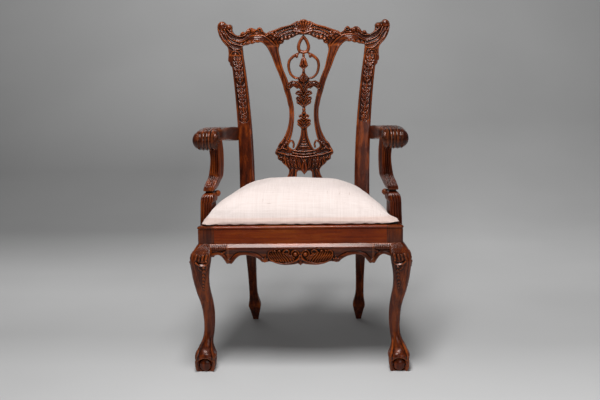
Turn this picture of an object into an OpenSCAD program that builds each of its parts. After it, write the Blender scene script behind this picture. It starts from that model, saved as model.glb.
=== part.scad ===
// Carved open armchair with a pierced splat back, cabriole front legs and a drop-in seat.
// Millimetres, +Z up. The front of the chair faces -Y and the origin is on the floor,
// under the middle of the chair's box. Pieces are drawn in "seat coordinates", in which
// y = 0 is the outer face of the front seat rail, and place() moves them to the origin.

/* [Seat] */
// Width across the front corners of the seat rails
seat_w = 600; // [560:5:640]
// Width across the rear posts at the seat
seat_back_w = 434; // [410:2:460]
// Depth from the front rail's face to the rear posts' faces
seat_d = 450; // [420:5:480]
// Height of the top of the seat rails
seat_h = 438; // [420:2:460]
// Height of the seat rails
rail_h = 52; // [46:1:60]
// Thickness of the seat rails
rail_t = 30; // [26:1:34]
// Thickness of the back seat rail, which carries the splat's shoe
back_rail_t = 40; // [36:1:44]
// Width of the lip that stands round the drop-in seat
lip_w = 10; // [8:0.5:12]
// Depth of the rebate that the drop-in seat lies in
rebate_d = 12; // [10:0.5:14]
// Length of the rail tenons
tenon_l = 22; // [16:1:24]
// Thickness of the rail tenons
tenon_t = 10; // [8:1:12]

/* [Front legs] */
// Side of the square post at the top of each front leg
post_w = 47; // [44:1:52]
// How far the knee swells past the post
knee_out = 25; // [20:1:30]
// Height of the widest part of the knee below the rails
knee_drop = 54; // [48:2:62]
// Half width of the leg at its thinnest, above the ankle
ankle_r = 15.5; // [13:0.5:19]
// Half width of the ball and claw foot
foot_r = 31; // [27:1:34]
// Half width of the flat that the ball stands on
foot_flat_r = 15; // [12:1:18]

/* [Back] */
// Overall height at the middle of the crest rail
back_h = 1036; // [1000:4:1070]
// Width of the back across the ears of the crest rail
crest_w = 582; // [560:2:610]
// Height of the crest rail, from the tops of the stiles to its middle
crest_h = 121; // [114:1:128]
// Width of the back where the stiles meet the crest rail
back_top_w = 492; // [480:2:506]
// Thickness of the crest rail, front to back
crest_t = 28; // [22:1:31]
// Lean of the back where it leaves the seat, in degrees
back_rake = 7.4; // [5:0.2:10]
// Extra lean that the curve of the back adds at the top
back_bow = 50; // [30:2:65]
// Width of the stiles at the seat
stile_w = 50; // [44:1:54]
// Width of the stiles at the crest rail
stile_top_w = 43; // [38:1:46]
// Thickness of the stiles, front to back
stile_t = 32; // [28:1:36]
// How far the rear feet splay back behind the posts
rear_splay = 82; // [60:2:95]
// Height of the shoe that holds the foot of the splat
shoe_h = 32; // [26:1:38]
// Thickness of the splat
splat_t = 15; // [12:0.5:18]
// Width of the splat across the tops of its two straps
splat_w = 256; // [248:2:264]

/* [Arms] */
// Height of the middle of the arm where it meets the stile
arm_h = 659; // [640:1:680]
// Height of the arm's section at the stile
arm_deep = 46; // [40:1:50]
// Thickness of the arm at the stile
arm_t = 30; // [26:1:34]
// Height of the middle of the rolled hand hold
roll_h = 679; // [665:1:690]
// Radius of the rolled hand hold
roll_r = 29; // [26:1:31]
// Distance between the inner faces of the two hand holds
roll_gap = 528; // [516:2:540]
// Width of each hand hold
roll_w = 66; // [60:1:72]
// Distance of the hand hold's middle behind the front rail's face
roll_y = 118; // [105:1:130]
// Front face of the arm support at the seat, behind the front rail's face
support_y = 72; // [66:1:80]
// Depth of the arm support, front to back
support_d = 45; // [40:1:50]
// Width of the arm support at the seat
support_w = 39; // [36:1:42]

/* [Apron] */
// Height of the rounded moulding under the seat rails
mould_h = 15; // [12:1:18]
// How far that moulding stands proud of the rails
mould_out = 9; // [6:1:12]
// Thickness of the carved apron board
apron_t = 18; // [14:1:22]
// Half length of the front apron
apron_half = 213; // [205:1:220]
// Depth of the front apron's middle point below the rails
apron_drop = 66; // [58:1:70]

/* [Drop-in seat] */
// Gap between the drop-in seat and the lip round it
seat_gap = 1.5; // [1:0.25:2.5]
// Thickness of the drop-in seat's wooden frame
frame_t = 18; // [16:1:21]
// Width of the wooden frame's members
frame_w = 48; // [42:2:56]
// Height of the padded crown above the frame
crown_h = 104; // [85:1:115]
// Thickness of the seat's cloth cover
cover_t = 1.5; // [1.2:0.1:2]
// Width of the webbing
web_w = 50; // [40:2:56]
// Thickness of the webbing
web_t = 1.2; // [1:0.1:1.6]

/* [Joints and screws] */
// Glue clearance all round a tenon or dowel
fit_gap = 0.15; // [0.1:0.05:0.3]
// Shank diameter of the wood screws
screw_d = 4.5; // [4:0.25:5]
// Head diameter of the wood screws
screw_head_d = 9; // [8:0.5:10]
// Diameter of the apron dowels
dowel_d = 8; // [6:1:10]
// Length of the apron dowels
dowel_l = 32; // [24:2:36]
// Size of the triangular corner blocks along each rail
block_l = 62; // [54:1:70]

/* [Hidden] */

wood = "#6b2d12";
wood_plain = "#b98a5a";
steel = "silver";

rail_z = seat_h - rail_h;                 // underside of the seat rails
ledge_z = seat_h - rebate_d;              // ledge that the drop-in seat rests on
half_w = seat_w / 2;
half_back = seat_back_w / 2;
taper = (half_w - half_back) / seat_d;    // how much each side rail closes in per mm of depth
side_k = sqrt(1 + taper * taper);         // x distance across a side rail for 1 mm square across
crest_k = crest_h / 121;                  // the crest rail is drawn 121 high
crest_z = back_h - crest_h;               // top of the stiles, under the crest rail
strap_z = back_h - 88 * crest_k;          // top of the splat's straps, under the crest rail
loop_z = back_h - 52 * crest_k;           // top of the splat's loop, under the crest rail
shoe_z = seat_h + shoe_h;
bow_k = back_bow / pow(back_h - seat_h, 2);
back_reach = back_y(back_h) + crest_t;
y_mid = (back_reach - knee_out) / 2;      // middle of the chair's box in seat coordinates
seat_rest = 0.3;                          // running gap under the drop-in seat
dust_t = 0.7;                             // thickness of the dust cover
frame_z = ledge_z + seat_rest + dust_t;   // underside of the drop-in seat's wooden frame
pad_z = frame_z + frame_t;                // top of that wooden frame
seat_front_y = lip_w + seat_gap;
seat_back_y = seat_d - 4;                 // clears the rear posts and the shoe
inset = (lip_w + seat_gap) * side_k;
eps = 0.01;

// ---------- curves ----------

// Height of a Catmull-Rom curve between b and c, with a and d as its outer neighbours
function curve_at(a, b, c, d, t) =
    0.5 * ((2 * b) + (c - a) * t + (2 * a - 5 * b + 4 * c - d) * t * t
        + (3 * b - a - 3 * c + d) * t * t * t);

// Smooth open curve through the points, with the given number of steps between neighbours
function smooth(pts, steps = 3) = [
    for (i = [0 : len(pts) - 2])
        for (s = [0 : steps - 1])
            curve_at(pts[max(i - 1, 0)], pts[i], pts[i + 1], pts[min(i + 2, len(pts) - 1)],
                s / steps),
    pts[len(pts) - 1]];

function reversed(pts) = [for (i = [len(pts) - 1 : -1 : 0]) pts[i]];
function flipped(pts) = [for (p = reversed(pts)) [-p[0], p[1]]];
function mirrored_outline(half) = concat(half, flipped(half));
function ellipse(cx, cz, rx, rz, n = 28) =
    [for (i = [0 : n - 1]) [cx + rx * cos(i * 360 / n), cz + rz * sin(i * 360 / n)]];
function power(v, p) = sign(v) * pow(abs(v), p);

// Rounded rectangle section: half sizes a and b, more square as p falls
function section(a, b, p = 0.6, n = 20) =
    [for (i = [0 : n - 1]) [a * power(cos(i * 360 / n), p), b * power(sin(i * 360 / n), p)]];

// Solid through a list of rings, each with the same number of points
module loft(rings) {
    n = len(rings[0]);
    m = len(rings);
    points = [for (r = rings) for (p = r) p];
    sides = [
        for (i = [0 : m - 2])
            for (j = [0 : n - 1])
                for (tri = [
                    [i * n + j, (i + 1) * n + j, (i + 1) * n + (j + 1) % n],
                    [i * n + j, (i + 1) * n + (j + 1) % n, i * n + (j + 1) % n]])
                    tri];
    low_cap = [for (j = [1 : n - 2]) [0, j, j + 1]];
    top = (m - 1) * n;
    high_cap = [for (j = [1 : n - 2]) [top, top + j + 1, top + j]];
    polyhedron(points, concat(sides, low_cap, high_cap));
}

// ---------- placing ----------

module place() translate([0, -y_mid, 0]) children();
module left_of() mirror([1, 0, 0]) children();

// Outer face of a side rail, and of the posts, at depth y
function side_x(y) = half_w - taper * y;

// Front face of the back's stiles, splat and crest rail at height z
function back_y(z) = seat_d + tan(back_rake) * (z - seat_h) + bow_k * pow(z - seat_h, 2);

// Slab that follows the lean of the back, from setback behind its face to thick further back
module back_slab(low, high, setback, thick, half_width) {
    steps = 14;
    face = [for (i = [0 : steps]) let (z = low + (high - low) * i / steps) [back_y(z) + setback, z]];
    slab = concat(face, [for (p = reversed(face)) [p[0] + thick, p[1]]]);
    rotate([90, 0, 90]) translate([0, 0, -half_width])
        linear_extrude(2 * half_width) polygon(slab);
}

// Extrudes an outline drawn in x and z through the whole depth of the back
module through_back() {
    translate([0, back_reach + 40, 0]) rotate([90, 0, 0]) linear_extrude(back_reach) children();
}

// A plan outline extruded between two heights
module plan(low, high) translate([0, 0, low]) linear_extrude(high - low) children();

// Plan of the drop-in seat's place, grown outwards by grow
module seat_plan(grow = 0) {
    polygon([
        [side_x(seat_front_y) - inset + grow, seat_front_y - grow],
        [side_x(seat_back_y) - inset + grow, seat_back_y + grow],
        [-side_x(seat_back_y) + inset - grow, seat_back_y + grow],
        [-side_x(seat_front_y) + inset - grow, seat_front_y - grow]]);
}

// Plan of the notch round each arm support, in the drop-in seat and its cover
module support_notches(gap) {
    near = support_y - gap;
    far = support_y + support_d + gap;
    for (side = [-1, 1])
        scale_x(side) polygon([
            [support_in(near) - gap, near], [half_w + 20, near],
            [half_w + 20, far], [support_in(far) - gap, far]]);
}
module scale_x(side) {
    if (side > 0) children();
    else mirror([1, 0]) children();
}

// ---------- screws and pegs ----------

// Countersunk wood screw: its head's face at the origin, its point towards -Z
module screw(length, extra = 0) {
    rotate_extrude($fn = 24)
        polygon([
            [0, 0], [screw_head_d / 2 + extra, 0], [screw_head_d / 2 + extra, -0.6],
            [screw_d / 2 + extra, -3.2], [screw_d / 2 + extra, -length + 5],
            [0.6 + extra, -length - extra], [0, -length - extra]]);
    // the hole that a screw is sunk through starts at the wood's surface
    if (extra > 0) cylinder(d = screw_head_d + 2 * extra, h = 50, $fn = 24);
}

// ---------- front legs ----------

foot_in = 11.5;                           // how far the foot's middle stands inside the post's corner

// Height, how far the middle of the leg stands inside the post's outer corner, half width
function leg_stations() = [
    [rail_z, post_w / 2, post_w / 2],
    [rail_z - 12, post_w / 2 - 8, post_w / 2 + 1.5],
    [rail_z - 28, 10.5, post_w / 2 + 6],
    [rail_z - knee_drop, 30 - knee_out, 30],
    [rail_z - knee_drop - 26, 4, 26.5],
    [rail_z - knee_drop - 72, 11, 22],
    [rail_z - knee_drop - 122, 22.5, 19],
    [rail_z - knee_drop - 172, 27.5, ankle_r + 1],
    [140, 27, ankle_r],
    [112, 23.5, ankle_r],
    [92, 18, ankle_r + 2],
    [70, 14, foot_r - 6],
    [50, 12, foot_r - 1],
    [32, foot_in, foot_r],
    [14, foot_in, foot_r - 3],
    [1, foot_in, foot_flat_r + 1]];

function leg_ring(s, gap) =
    [for (p = section(s[2] + gap, s[2] + gap, 0.62)) [half_w - s[1] + p[0], s[1] + p[1], s[0]]];

function leg_rings(gap) = [for (s = reversed(smooth(leg_stations(), 3))) leg_ring(s, gap)];

module post_plan() {
    polygon([
        [half_w - post_w, 0], [half_w, 0],
        [side_x(post_w), post_w], [half_w - post_w, post_w]]);
}

module right_leg() {
    difference() {
        union() {
            loft(leg_rings(0));
            translate([half_w - foot_in, foot_in, 0]) cylinder(r = foot_flat_r, h = 4, $fn = 40);
            plan(rail_z - eps, seat_h) post_plan();
        }
        plan(ledge_z, seat_h + 1) seat_plan(seat_gap);
        front_tenons(fit_gap);
        side_tenon(fit_gap);
        corner_screws(fit_gap);
    }
}

module front_right_leg() color(wood) place() right_leg();
module front_left_leg() color(wood) place() left_of() right_leg();

// ---------- seat rails ----------

// Tenons at both ends of the front rail
module front_tenons(gap = 0) {
    inner = half_w - post_w;
    for (side = [-1, 1])
        translate([side * (inner + tenon_l / 2), rail_t / 2, rail_z + rail_h / 2 - rebate_d / 2])
            cube([tenon_l + 2 * gap + eps, tenon_t + 2 * gap, rail_h - rebate_d - 8 + 2 * gap],
                center = true);
}

module front_seat_rail() color(wood) place() {
    inner = half_w - post_w;
    difference() {
        union() {
            translate([-inner, 0, rail_z]) cube([2 * inner, rail_t, rail_h]);
            front_tenons();
        }
        plan(ledge_z, seat_h + 1) seat_plan(seat_gap);
        apron_dowels_at(fit_gap);
        corner_screws(fit_gap);
        left_of() corner_screws(fit_gap);
    }
}

// Plan strip that follows a side rail, between two distances in from its outer face
module side_strip(from, to, near, far) {
    polygon([
        [side_x(near) - from * side_k, near], [side_x(far) - from * side_k, far],
        [side_x(far) - to * side_k, far], [side_x(near) - to * side_k, near]]);
}

// Tenons of the right side rail, into the front post and the rear post
module side_tenon(gap = 0) {
    low = rail_z + 4 - gap;
    high = ledge_z - 4 + gap;
    from = (rail_t - tenon_t) / 2 - gap;
    to = (rail_t + tenon_t) / 2 + gap;
    front_end = rail_t / 2 + tenon_t / 2 + 1;
    plan(low, high) side_strip(from, to, front_end - gap, post_w + eps);
    plan(low, high) side_strip(from, to, seat_d - eps, seat_d + tenon_l + gap);
}

module right_rail() {
    difference() {
        union() {
            plan(rail_z, seat_h) side_strip(0, rail_t, post_w, seat_d);
            side_tenon();
        }
        plan(ledge_z, seat_h + 1) seat_plan(seat_gap);
        support_screws(fit_gap);
        corner_screws(fit_gap);
    }
}

module right_seat_rail() color(wood) place() right_rail();
module left_seat_rail() color(wood) place() left_of() right_rail();

back_rail_y = seat_d - 10;
module back_tenons(gap = 0) {
    inner = half_back - stile_w;
    for (side = [-1, 1])
        translate([side * (inner + tenon_l / 2), seat_d + tenon_t / 2 + 3,
            rail_z + rail_h / 2 - rebate_d / 2])
            cube([tenon_l + 2 * gap + eps, tenon_t + 2 * gap, rail_h - rebate_d - 8 + 2 * gap],
                center = true);
}

module back_seat_rail() color(wood) place() {
    inner = half_back - stile_w;
    difference() {
        union() {
            translate([-inner, back_rail_y, rail_z]) cube([2 * inner, back_rail_t, rail_h]);
            back_tenons();
        }
        plan(ledge_z, seat_h + 1) seat_plan(seat_gap);
        corner_screws(fit_gap);
        left_of() corner_screws(fit_gap);
    }
}

// ---------- rear posts and back ----------

function stile_t_at(z) = min(max((z - seat_h) / (crest_z - seat_h), 0), 1);
function stile_out(z) =
    half_back + (back_top_w / 2 - half_back) * pow(stile_t_at(z), 2.4);
function stile_in(z) =
    half_back - stile_w
        + (back_top_w / 2 - stile_top_w - half_back + stile_w) * pow(stile_t_at(z), 2.1);

// Height, middle and half width of the rear leg, measured in from the post's outer face,
// drawn for a post 50 wide and rails 386 above the floor
leg_k = rail_z / 386;
function rear_leg_stations() = [
    for (s = [[376, 25, 25], [306, 30, 19], [210, 32, 15.5], [124, 33.5, 13.5], [88, 34.5, 15],
        [58, 36, 21], [30, 37, 16.5], [0, 37, 9]])
        [s[0] * leg_k, s[1] * stile_w / 50, s[2] * stile_w / 50]];

function rear_splay_at(z) = rear_splay * pow(max(rail_z - z, 0) / rail_z, 2);

module rear_post_front_view() {
    leg = smooth(rear_leg_stations(), 3);
    upper = [for (i = [0 : 16]) rail_z + (crest_z - rail_z) * i / 16];
    polygon(concat(
        [for (s = leg) [half_back - s[1] + s[2], s[0]]],
        [for (s = reversed(leg)) [half_back - s[1] - s[2], s[0]]],
        [for (z = upper) [stile_in(z), z]],
        [for (z = reversed(upper)) [stile_out(z), z]]));
}

module rear_post_side_view() {
    // height and half thickness of the leg, drawn for a stile 32 thick
    low = [for (s = [[0, 9], [30, 16], [58, 18], [88, 14], [124, 13.5], [170, 14], [230, 15],
        [300, 16.5], [386, 16]]) [s[0] * leg_k, s[1] * stile_t / 32]];
    high = [for (i = [1 : 14]) rail_z + (crest_z - rail_z) * i / 14];
    function mid(z) = seat_d + stile_t / 2 + rear_splay_at(z);
    function face(z) = z < seat_h ? seat_d : back_y(z);
    polygon(concat(
        [for (s = low) [mid(s[0]) - s[1], s[0]]],
        [for (z = high) [face(z), z]],
        [for (z = reversed(high)) [face(z) + stile_t, z]],
        [for (s = reversed(low)) [mid(s[0]) + s[1], s[0]]]));
}

// Tenon on top of the right stile, into the crest rail
module stile_tenon(gap = 0) {
    mid_x = (stile_out(crest_z) + stile_in(crest_z)) / 2;
    intersection() {
        through_back() translate([mid_x - 11 - gap, crest_z - eps]) square([22 + 2 * gap, 22 + gap]);
        back_slab(crest_z - 5, crest_z + 30, crest_t / 2 - 5 - gap, 10 + 2 * gap, half_w);
    }
}

module right_rear_post() {
    difference() {
        union() {
            intersection() {
                through_back() rear_post_front_view();
                rotate([90, 0, 90]) linear_extrude(half_w) rear_post_side_view();
            }
            stile_tenon();
        }
        side_tenon(fit_gap);
        back_tenons(fit_gap);
        arm_tenon(fit_gap);
        peg_at(fit_gap);
        corner_screws(fit_gap);
    }
}

module rear_right_post() color(wood) place() right_rear_post();
module rear_left_post() color(wood) place() left_of() right_rear_post();

// Points of the crest rail's outline, with the given stretch in x
function stretched(pts, k) = [for (p = pts) [p[0] * k, p[1] * crest_k]];

// Half outline of the crest rail: x from the middle, and drop below the top of the back
function crest_half() =
    let (k = crest_w / 582, s = splat_w / 256, out = stile_out(crest_z), in = stile_in(crest_z)) concat(
        smooth(stretched([[0, 0], [14, 4], [36, 14], [62, 23], [96, 34], [120, 42]], k)),
        smooth(stretched([[127, 45], [138, 39], [145, 28], [153, 27], [166, 32], [186, 30], [197, 43],
            [206, 41], [214, 50], [223, 53], [238, 45], [246, 24], [258, 15], [276, 6], [289, 17],
            [290, 34], [283, 56], [271, 75], [258, 90]], k)),
        stretched([[out + 6, 104], [out, 121], [in, 121]], 1),
        smooth(stretched([[in + 1, 100], [in - 3, 88], [172 * k, 80], [150 * s, 76], [137 * s, 79],
            [128 * s, 88]], 1)),
        stretched([[80.5, 88]], s),
        smooth(stretched([[79, 84], [70, 76], [64, 70], [54, 69], [45, 65], [33, 60], [21, 54]], s)),
        stretched([[12, 52], [0, 52]], s));

module crest_rail() color(wood) place() {
    difference() {
        intersection() {
            through_back()
                polygon(mirrored_outline([for (p = crest_half()) [p[0], back_h - p[1]]]));
            back_slab(crest_z - 5, back_h + 5, 0, crest_t, half_w);
        }
        stile_tenon(fit_gap);
        left_of() stile_tenon(fit_gap);
        splat_tenons(fit_gap);
    }
}

// ---------- splat ----------

// The splat is drawn for a height of 478 from the shoe to the tops of its straps
splat_k = (strap_z - shoe_z) / 478;
splat_x = splat_w / 256;
function splat_pts(pts) = [for (p = pts) [p[0] * splat_x, shoe_z + p[1] * splat_k]];

module strap() {
    outer = smooth([[128, 478], [117, 460], [105, 435], [90, 394], [73, 355], [60, 314], [51, 278],
        [49, 247], [52, 215], [61, 187], [74, 165], [88, 150]]);
    inner = smooth([[44, 166], [38, 186], [35, 212], [33, 243], [37, 288], [46, 329], [55, 366],
        [70, 404], [79, 438], [83, 463], [80.5, 478]]);
    polygon(splat_pts(concat(outer, inner)));
}

// Half outline of the carved middle: drop, plume, leaf pairs and vase
function column_half() = [
    [0, 452], [6, 445], [3, 437], [9, 434], [11, 422], [16, 408], [6, 402], [4, 388], [14, 377],
    [20, 363], [40, 362], [53, 357], [60, 345], [53, 336], [40, 335], [30, 336], [16, 327],
    [28, 318], [17, 306], [27, 302], [22, 286], [5, 274], [6, 266], [4, 258], [10, 251], [18, 242],
    [21, 233], [23, 218], [12, 204], [10, 198], [12, 186], [17, 168], [25, 151], [34, 136],
    [40, 124], [0, 120]];

// Half outline of the carved base, with its inner hooks and splayed feet
function base_half() = concat(
    [[0, 128], [38, 128], [45, 130], [55, 138], [52, 149], [43, 155], [35, 157], [42, 163]],
    smooth([[46, 168], [68, 160], [85, 152], [93, 138], [97, 124], [93, 112], [87, 101], [76, 94],
        [70, 86], [58, 77], [52, 64], [54, 50], [62, 36], [73, 20], [76, 0]], 2),
    [[0, 0]]);

module splat_outline() {
    for (side = [-1, 1])
        scale_x(side) {
            strap();
            polygon(splat_pts(column_half()));
            polygon(splat_pts(base_half()));
        }
    // loop that hangs from the crest rail, and the ring below it
    difference() {
        polygon(splat_pts(ellipse(0, 481, 21, 32)));
        polygon(splat_pts(ellipse(0, 478, 10, 19)));
    }
    difference() {
        polygon(splat_pts(ellipse(0, 409, 56, 46)));
        polygon(splat_pts(ellipse(0, 407, 45, 35)));
    }
    translate([-8, loop_z - 20]) square([16, 20]);
}

// Heart-shaped opening between the splat's feet
module splat_heart() {
    polygon(splat_pts([[0, 51], [10, 63], [20, 64], [25, 56], [25, 16], [-25, 16], [-25, 56],
        [-20, 64], [-10, 63]]));
}

splat_set = (crest_t - splat_t) / 2;      // how far the splat lies behind the crest rail's face

// Tenons of the straps and of the loop, into the crest rail
module splat_tenons(gap = 0) {
    intersection() {
        through_back() union() {
            for (side = [-1, 1])
                translate([side * 104 * splat_x - 13 - gap, strap_z - eps])
                    square([26 + 2 * gap, 12 + gap]);
            translate([-6 - gap, loop_z - eps]) square([12 + 2 * gap, 10 + gap]);
        }
        back_slab(strap_z - 10, back_h, splat_set + 3 - gap, splat_t - 6 + 2 * gap, half_w);
    }
}

// Tenon at the splat's foot, into the shoe
module splat_foot_tenon(gap = 0) {
    translate([-66 - gap, back_y(shoe_z) + splat_set + 3 - gap, shoe_z - 18 - gap])
        cube([132 + 2 * gap, splat_t - 6 + 2 * gap, 18 + gap + eps]);
}

module splat() color(wood) place() {
    intersection() {
        through_back() difference() {
            splat_outline();
            splat_heart();
        }
        back_slab(shoe_z, loop_z, splat_set, splat_t, half_w);
    }
    splat_tenons();
    splat_foot_tenon();
}

module splat_shoe() color(wood) place() {
    front = seat_back_y + 2 * seat_gap;
    depth = back_rail_y + back_rail_t - front;
    difference() {
        rotate([90, 0, 90]) translate([0, 0, -half_back + stile_w])
            linear_extrude(2 * (half_back - stile_w))
                polygon([[front, seat_h], [front + depth, seat_h], [front + depth, seat_h + 10],
                    [front + depth - 3, shoe_z - 4], [front + depth - 5, shoe_z],
                    [front + 3, shoe_z], [front + 1, shoe_z - 4], [front, seat_h + 8]]);
        splat_foot_tenon(fit_gap);
    }
}

// ---------- aprons and knee brackets ----------

// Section of the rounded moulding, and of the board under it: depth and height below the rail
module apron_section(drop) {
    steps = 8;
    nose = [for (i = [0 : steps]) let (a = 90 + 180 * i / steps)
        [-mould_out + mould_h / 2 + mould_h / 2 * cos(a), -mould_h / 2 + mould_h / 2 * sin(a)]];
    polygon(concat([[apron_t, 0]], nose, [[0, -mould_h - 3], [0, -drop], [apron_t, -drop]]));
}

// Lower edge of the front apron: x from the middle and drop below the rails,
// drawn for an apron 213 long on each side with its middle point 66 below the rails
function apron_edge() = smooth([
    for (p = [[0, 66], [9, 61], [26, 64], [48, 65], [70, 61], [86, 55], [101, 54], [111, 56],
        [121, 49], [139, 38], [158, 34], [176, 36], [189, 44], [198, 56], [204, 61.5], [213, 59]])
        [p[0] * apron_half / 213, p[1] * apron_drop / 66]], 2);

dowel_step = apron_half * 0.35;           // distance between the apron's dowels
module apron_dowels_at(gap = 0) {
    for (i = [-2 : 2])
        translate([i * dowel_step, rail_t / 2 - 4, rail_z - dowel_l / 2 - gap])
            cylinder(d = dowel_d + 2 * gap, h = dowel_l + 2 * gap, $fn = 24);
}

module apron_dowels() color(wood_plain) place() apron_dowels_at();

module front_apron() color(wood) place() {
    edge = concat([[apron_half, -1]], reversed(apron_edge()));
    difference() {
        intersection() {
            rotate([90, 0, 90]) translate([0, rail_z, -apron_half])
                linear_extrude(2 * apron_half) apron_section(apron_drop + 4);
            translate([0, 60, 0]) rotate([90, 0, 0]) linear_extrude(120)
                polygon([for (p = mirrored_outline(edge)) [p[0], rail_z - p[1]]]);
        }
        apron_dowels_at(fit_gap);
    }
}

// Knee bracket between the apron and the knee of the leg, in front view from x = apron_half
module knee_bracket_outline(width) {
    polygon(concat([[0, 0], [0, -58], [5, -60]],
        smooth([[9, -52], [16, -42], [25, -35], [34, -34], [width, -37]], 3),
        [[width, 0]]));
}

module front_bracket() {
    width = half_w - post_w - apron_half;
    difference() {
        intersection() {
            translate([apron_half + fit_gap, apron_t, rail_z]) rotate([90, 0, 0])
                linear_extrude(apron_t + mould_out) knee_bracket_outline(width + 14);
            rotate([90, 0, 90]) translate([0, rail_z, 0]) linear_extrude(half_w) apron_section(70);
        }
        knee_space();
    }
}

// The knee with a hair of glue room round it, open above
module knee_space() {
    loft(concat(leg_rings(fit_gap), [leg_ring([rail_z + 2, post_w / 2, post_w / 2], fit_gap)]));
}

module front_right_knee_bracket() color(wood) place() front_bracket();
module front_left_knee_bracket() color(wood) place() left_of() front_bracket();

// Turns a piece drawn along x, with its face towards -y, to run back along the right side rail
module along_side(y) {
    translate([side_x(y), y, 0]) rotate([0, 0, 90 + atan(taper)]) children();
}

side_apron_start = 96;                    // where the side apron meets its knee bracket
module side_apron() {
    length = (seat_d - side_apron_start) * side_k;
    edge = smooth([[0, 58], [12, 46], [40, 30], [110, 26], [length - 90, 26], [length - 30, 31],
        [length + 20, 44]]);
    difference() {
        along_side(side_apron_start) intersection() {
            rotate([90, 0, 90]) translate([0, rail_z, 0]) linear_extrude(length + 20) apron_section(70);
            translate([0, 60, rail_z]) rotate([90, 0, 0]) linear_extrude(120)
                polygon(concat([[0, 1]], [for (p = edge) [p[0], -p[1]]], [[length + 20, 1]]));
        }
        translate([0, seat_d - fit_gap, 0]) cube([half_w + 40, 100, seat_h]);
    }
}

module right_apron() color(wood) place() side_apron();
module left_apron() color(wood) place() left_of() side_apron();

module side_bracket() {
    difference() {
        intersection() {
            along_side(side_apron_start - fit_gap) mirror([1, 0, 0])
                translate([0, apron_t, rail_z]) rotate([90, 0, 0])
                    linear_extrude(apron_t + mould_out) knee_bracket_outline(62);
            along_side(0) rotate([90, 0, 90]) translate([0, rail_z, 0])
                linear_extrude(140) apron_section(70);
        }
        knee_space();
    }
}

module side_right_knee_bracket() color(wood) place() side_bracket();
module side_left_knee_bracket() color(wood) place() left_of() side_bracket();

// ---------- arm supports ----------

support_over = 3.5;                       // how far the support's outer face passes the rail's corner
function support_out(y) = half_w + support_over - taper * (y - support_y);
function support_in(y) = support_out(y) - support_w;

// Height above the rail, shift outwards of the middle, shift back of the middle,
// half width and half depth of the arm support
function support_stations() = [
    [0, 0, 0, support_w / 2, support_d / 2],
    [30, 0, 0, support_w / 2, support_d / 2],
    [60, -1.5, 1, support_w / 2 - 1, support_d / 2],
    [80, -3, 6, support_w / 2 - 2.5, support_d / 2 - 2],
    [88, -4, 10, support_w / 2 - 4, support_d / 2 - 5],
    [93, -6, 10, support_w / 2 - 3, support_d / 2 - 3],
    [105, -9, 16, support_w / 2 - 3.5, support_d / 2 - 4],
    [125, -13, 26, support_w / 2 - 4, support_d / 2 - 6],
    [150, -15, 36, support_w / 2 - 4.5, support_d / 2 - 6],
    [180, -14, 41, support_w / 2 - 4.5, support_d / 2 - 5],
    [roll_h - seat_h - 28, -10, 40, support_w / 2 - 4.5, support_d / 2 - 3],
    [roll_h - seat_h - 12, -5, 37, support_w / 2 - 4.5, support_d / 2 - 2]];

module right_support_body() {
    mid_y = support_y + support_d / 2;
    mid_x = (support_out(mid_y) + support_in(mid_y)) / 2;
    rings = [
        for (s = smooth(support_stations(), 2))
            [for (p = section(s[3], s[4], 0.5, 16))
                [mid_x + s[1] + p[0] - taper * p[1], mid_y + s[2] + p[1], seat_h + s[0]]]];
    loft(rings);
}

// Part of the support that laps the outer face of the side rail
module support_lap() {
    far = support_y + support_d;
    low = rail_z + 8;
    outer = support_out(support_y + 2) - 1;
    intersection() {
        plan(low, seat_h + 1)
            polygon([
                [side_x(support_y + 2) + fit_gap, support_y + 2], [outer, support_y + 2],
                [support_out(far) - 1, far - 2], [side_x(far - 2) + fit_gap, far - 2]]);
        translate([0, far, 0]) rotate([90, 0, 0]) linear_extrude(support_d)
            polygon([[0, low], [outer - 8, low], [outer, low + 14], [outer, seat_h + 1], [0, seat_h + 1]]);
    }
}

module right_support() {
    difference() {
        union() {
            right_support_body();
            support_lap();
        }
        arm_shape(fit_gap);
        support_screws(fit_gap);
    }
    support_tenon();
}

// Tenon on top of the support, into the arm
support_tenon_h = 14;
module support_tenon(gap = 0) {
    s = support_stations()[10];
    mid_y = support_y + support_d / 2 + s[2];
    mid_x = (support_out(mid_y - s[2]) + support_in(mid_y - s[2])) / 2 + s[1];
    translate([mid_x - 8 - gap, mid_y - 12 - gap, arm_under(mid_y) - 8])
        cube([16 + 2 * gap, 24 + 2 * gap, 8 + support_tenon_h + gap]);
}

module right_arm_support() color(wood) place() right_support();
module left_arm_support() color(wood) place() left_of() right_support();

// Screws from inside the right rail into the foot of the support, sunk into the rail
support_screw_l = 40;
support_screw_sunk = 1.5;
module support_screws(extra = 0) {
    for (y = [support_y + 12, support_y + support_d - 12])
        translate([side_x(y) - rail_t * side_k + support_screw_sunk, y, rail_z + rail_h / 2])
            rotate([0, -90, 0]) screw(support_screw_l, extra);
}

module arm_support_screws() color(steel) place() {
    support_screws();
    left_of() support_screws();
}

// ---------- arms ----------

// Depth, inner face, width, middle height and height of the arm's section, from rear to front
function arm_stations() =
    let (roll_in = roll_gap / 2, rear_y = back_y(arm_h)) [
    [rear_y + stile_t, arm_rear_x(), arm_t, arm_h, arm_deep],
    [rear_y, arm_rear_x(), arm_t, arm_h, arm_deep],
    [rear_y - 60, arm_rear_x() + 4, arm_t + 1, arm_h + 2, arm_deep - 3],
    [rear_y - 130, arm_rear_x() + 9, arm_t + 7, arm_h + 7, arm_deep - 9],
    [rear_y - 210, arm_rear_x() + 15, arm_t + 18, roll_h - 6, arm_deep - 14],
    [roll_y + 90, roll_in - 20, roll_w - 8, roll_h + 1, 29],
    [roll_y + 45, roll_in - 12, roll_w, roll_h + 5, 29],
    [roll_y + 15, roll_in - 4, roll_w, roll_h + roll_r - 16, 28],
    [roll_y, roll_in, roll_w - 6, roll_h + roll_r - 15, 26]];

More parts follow.
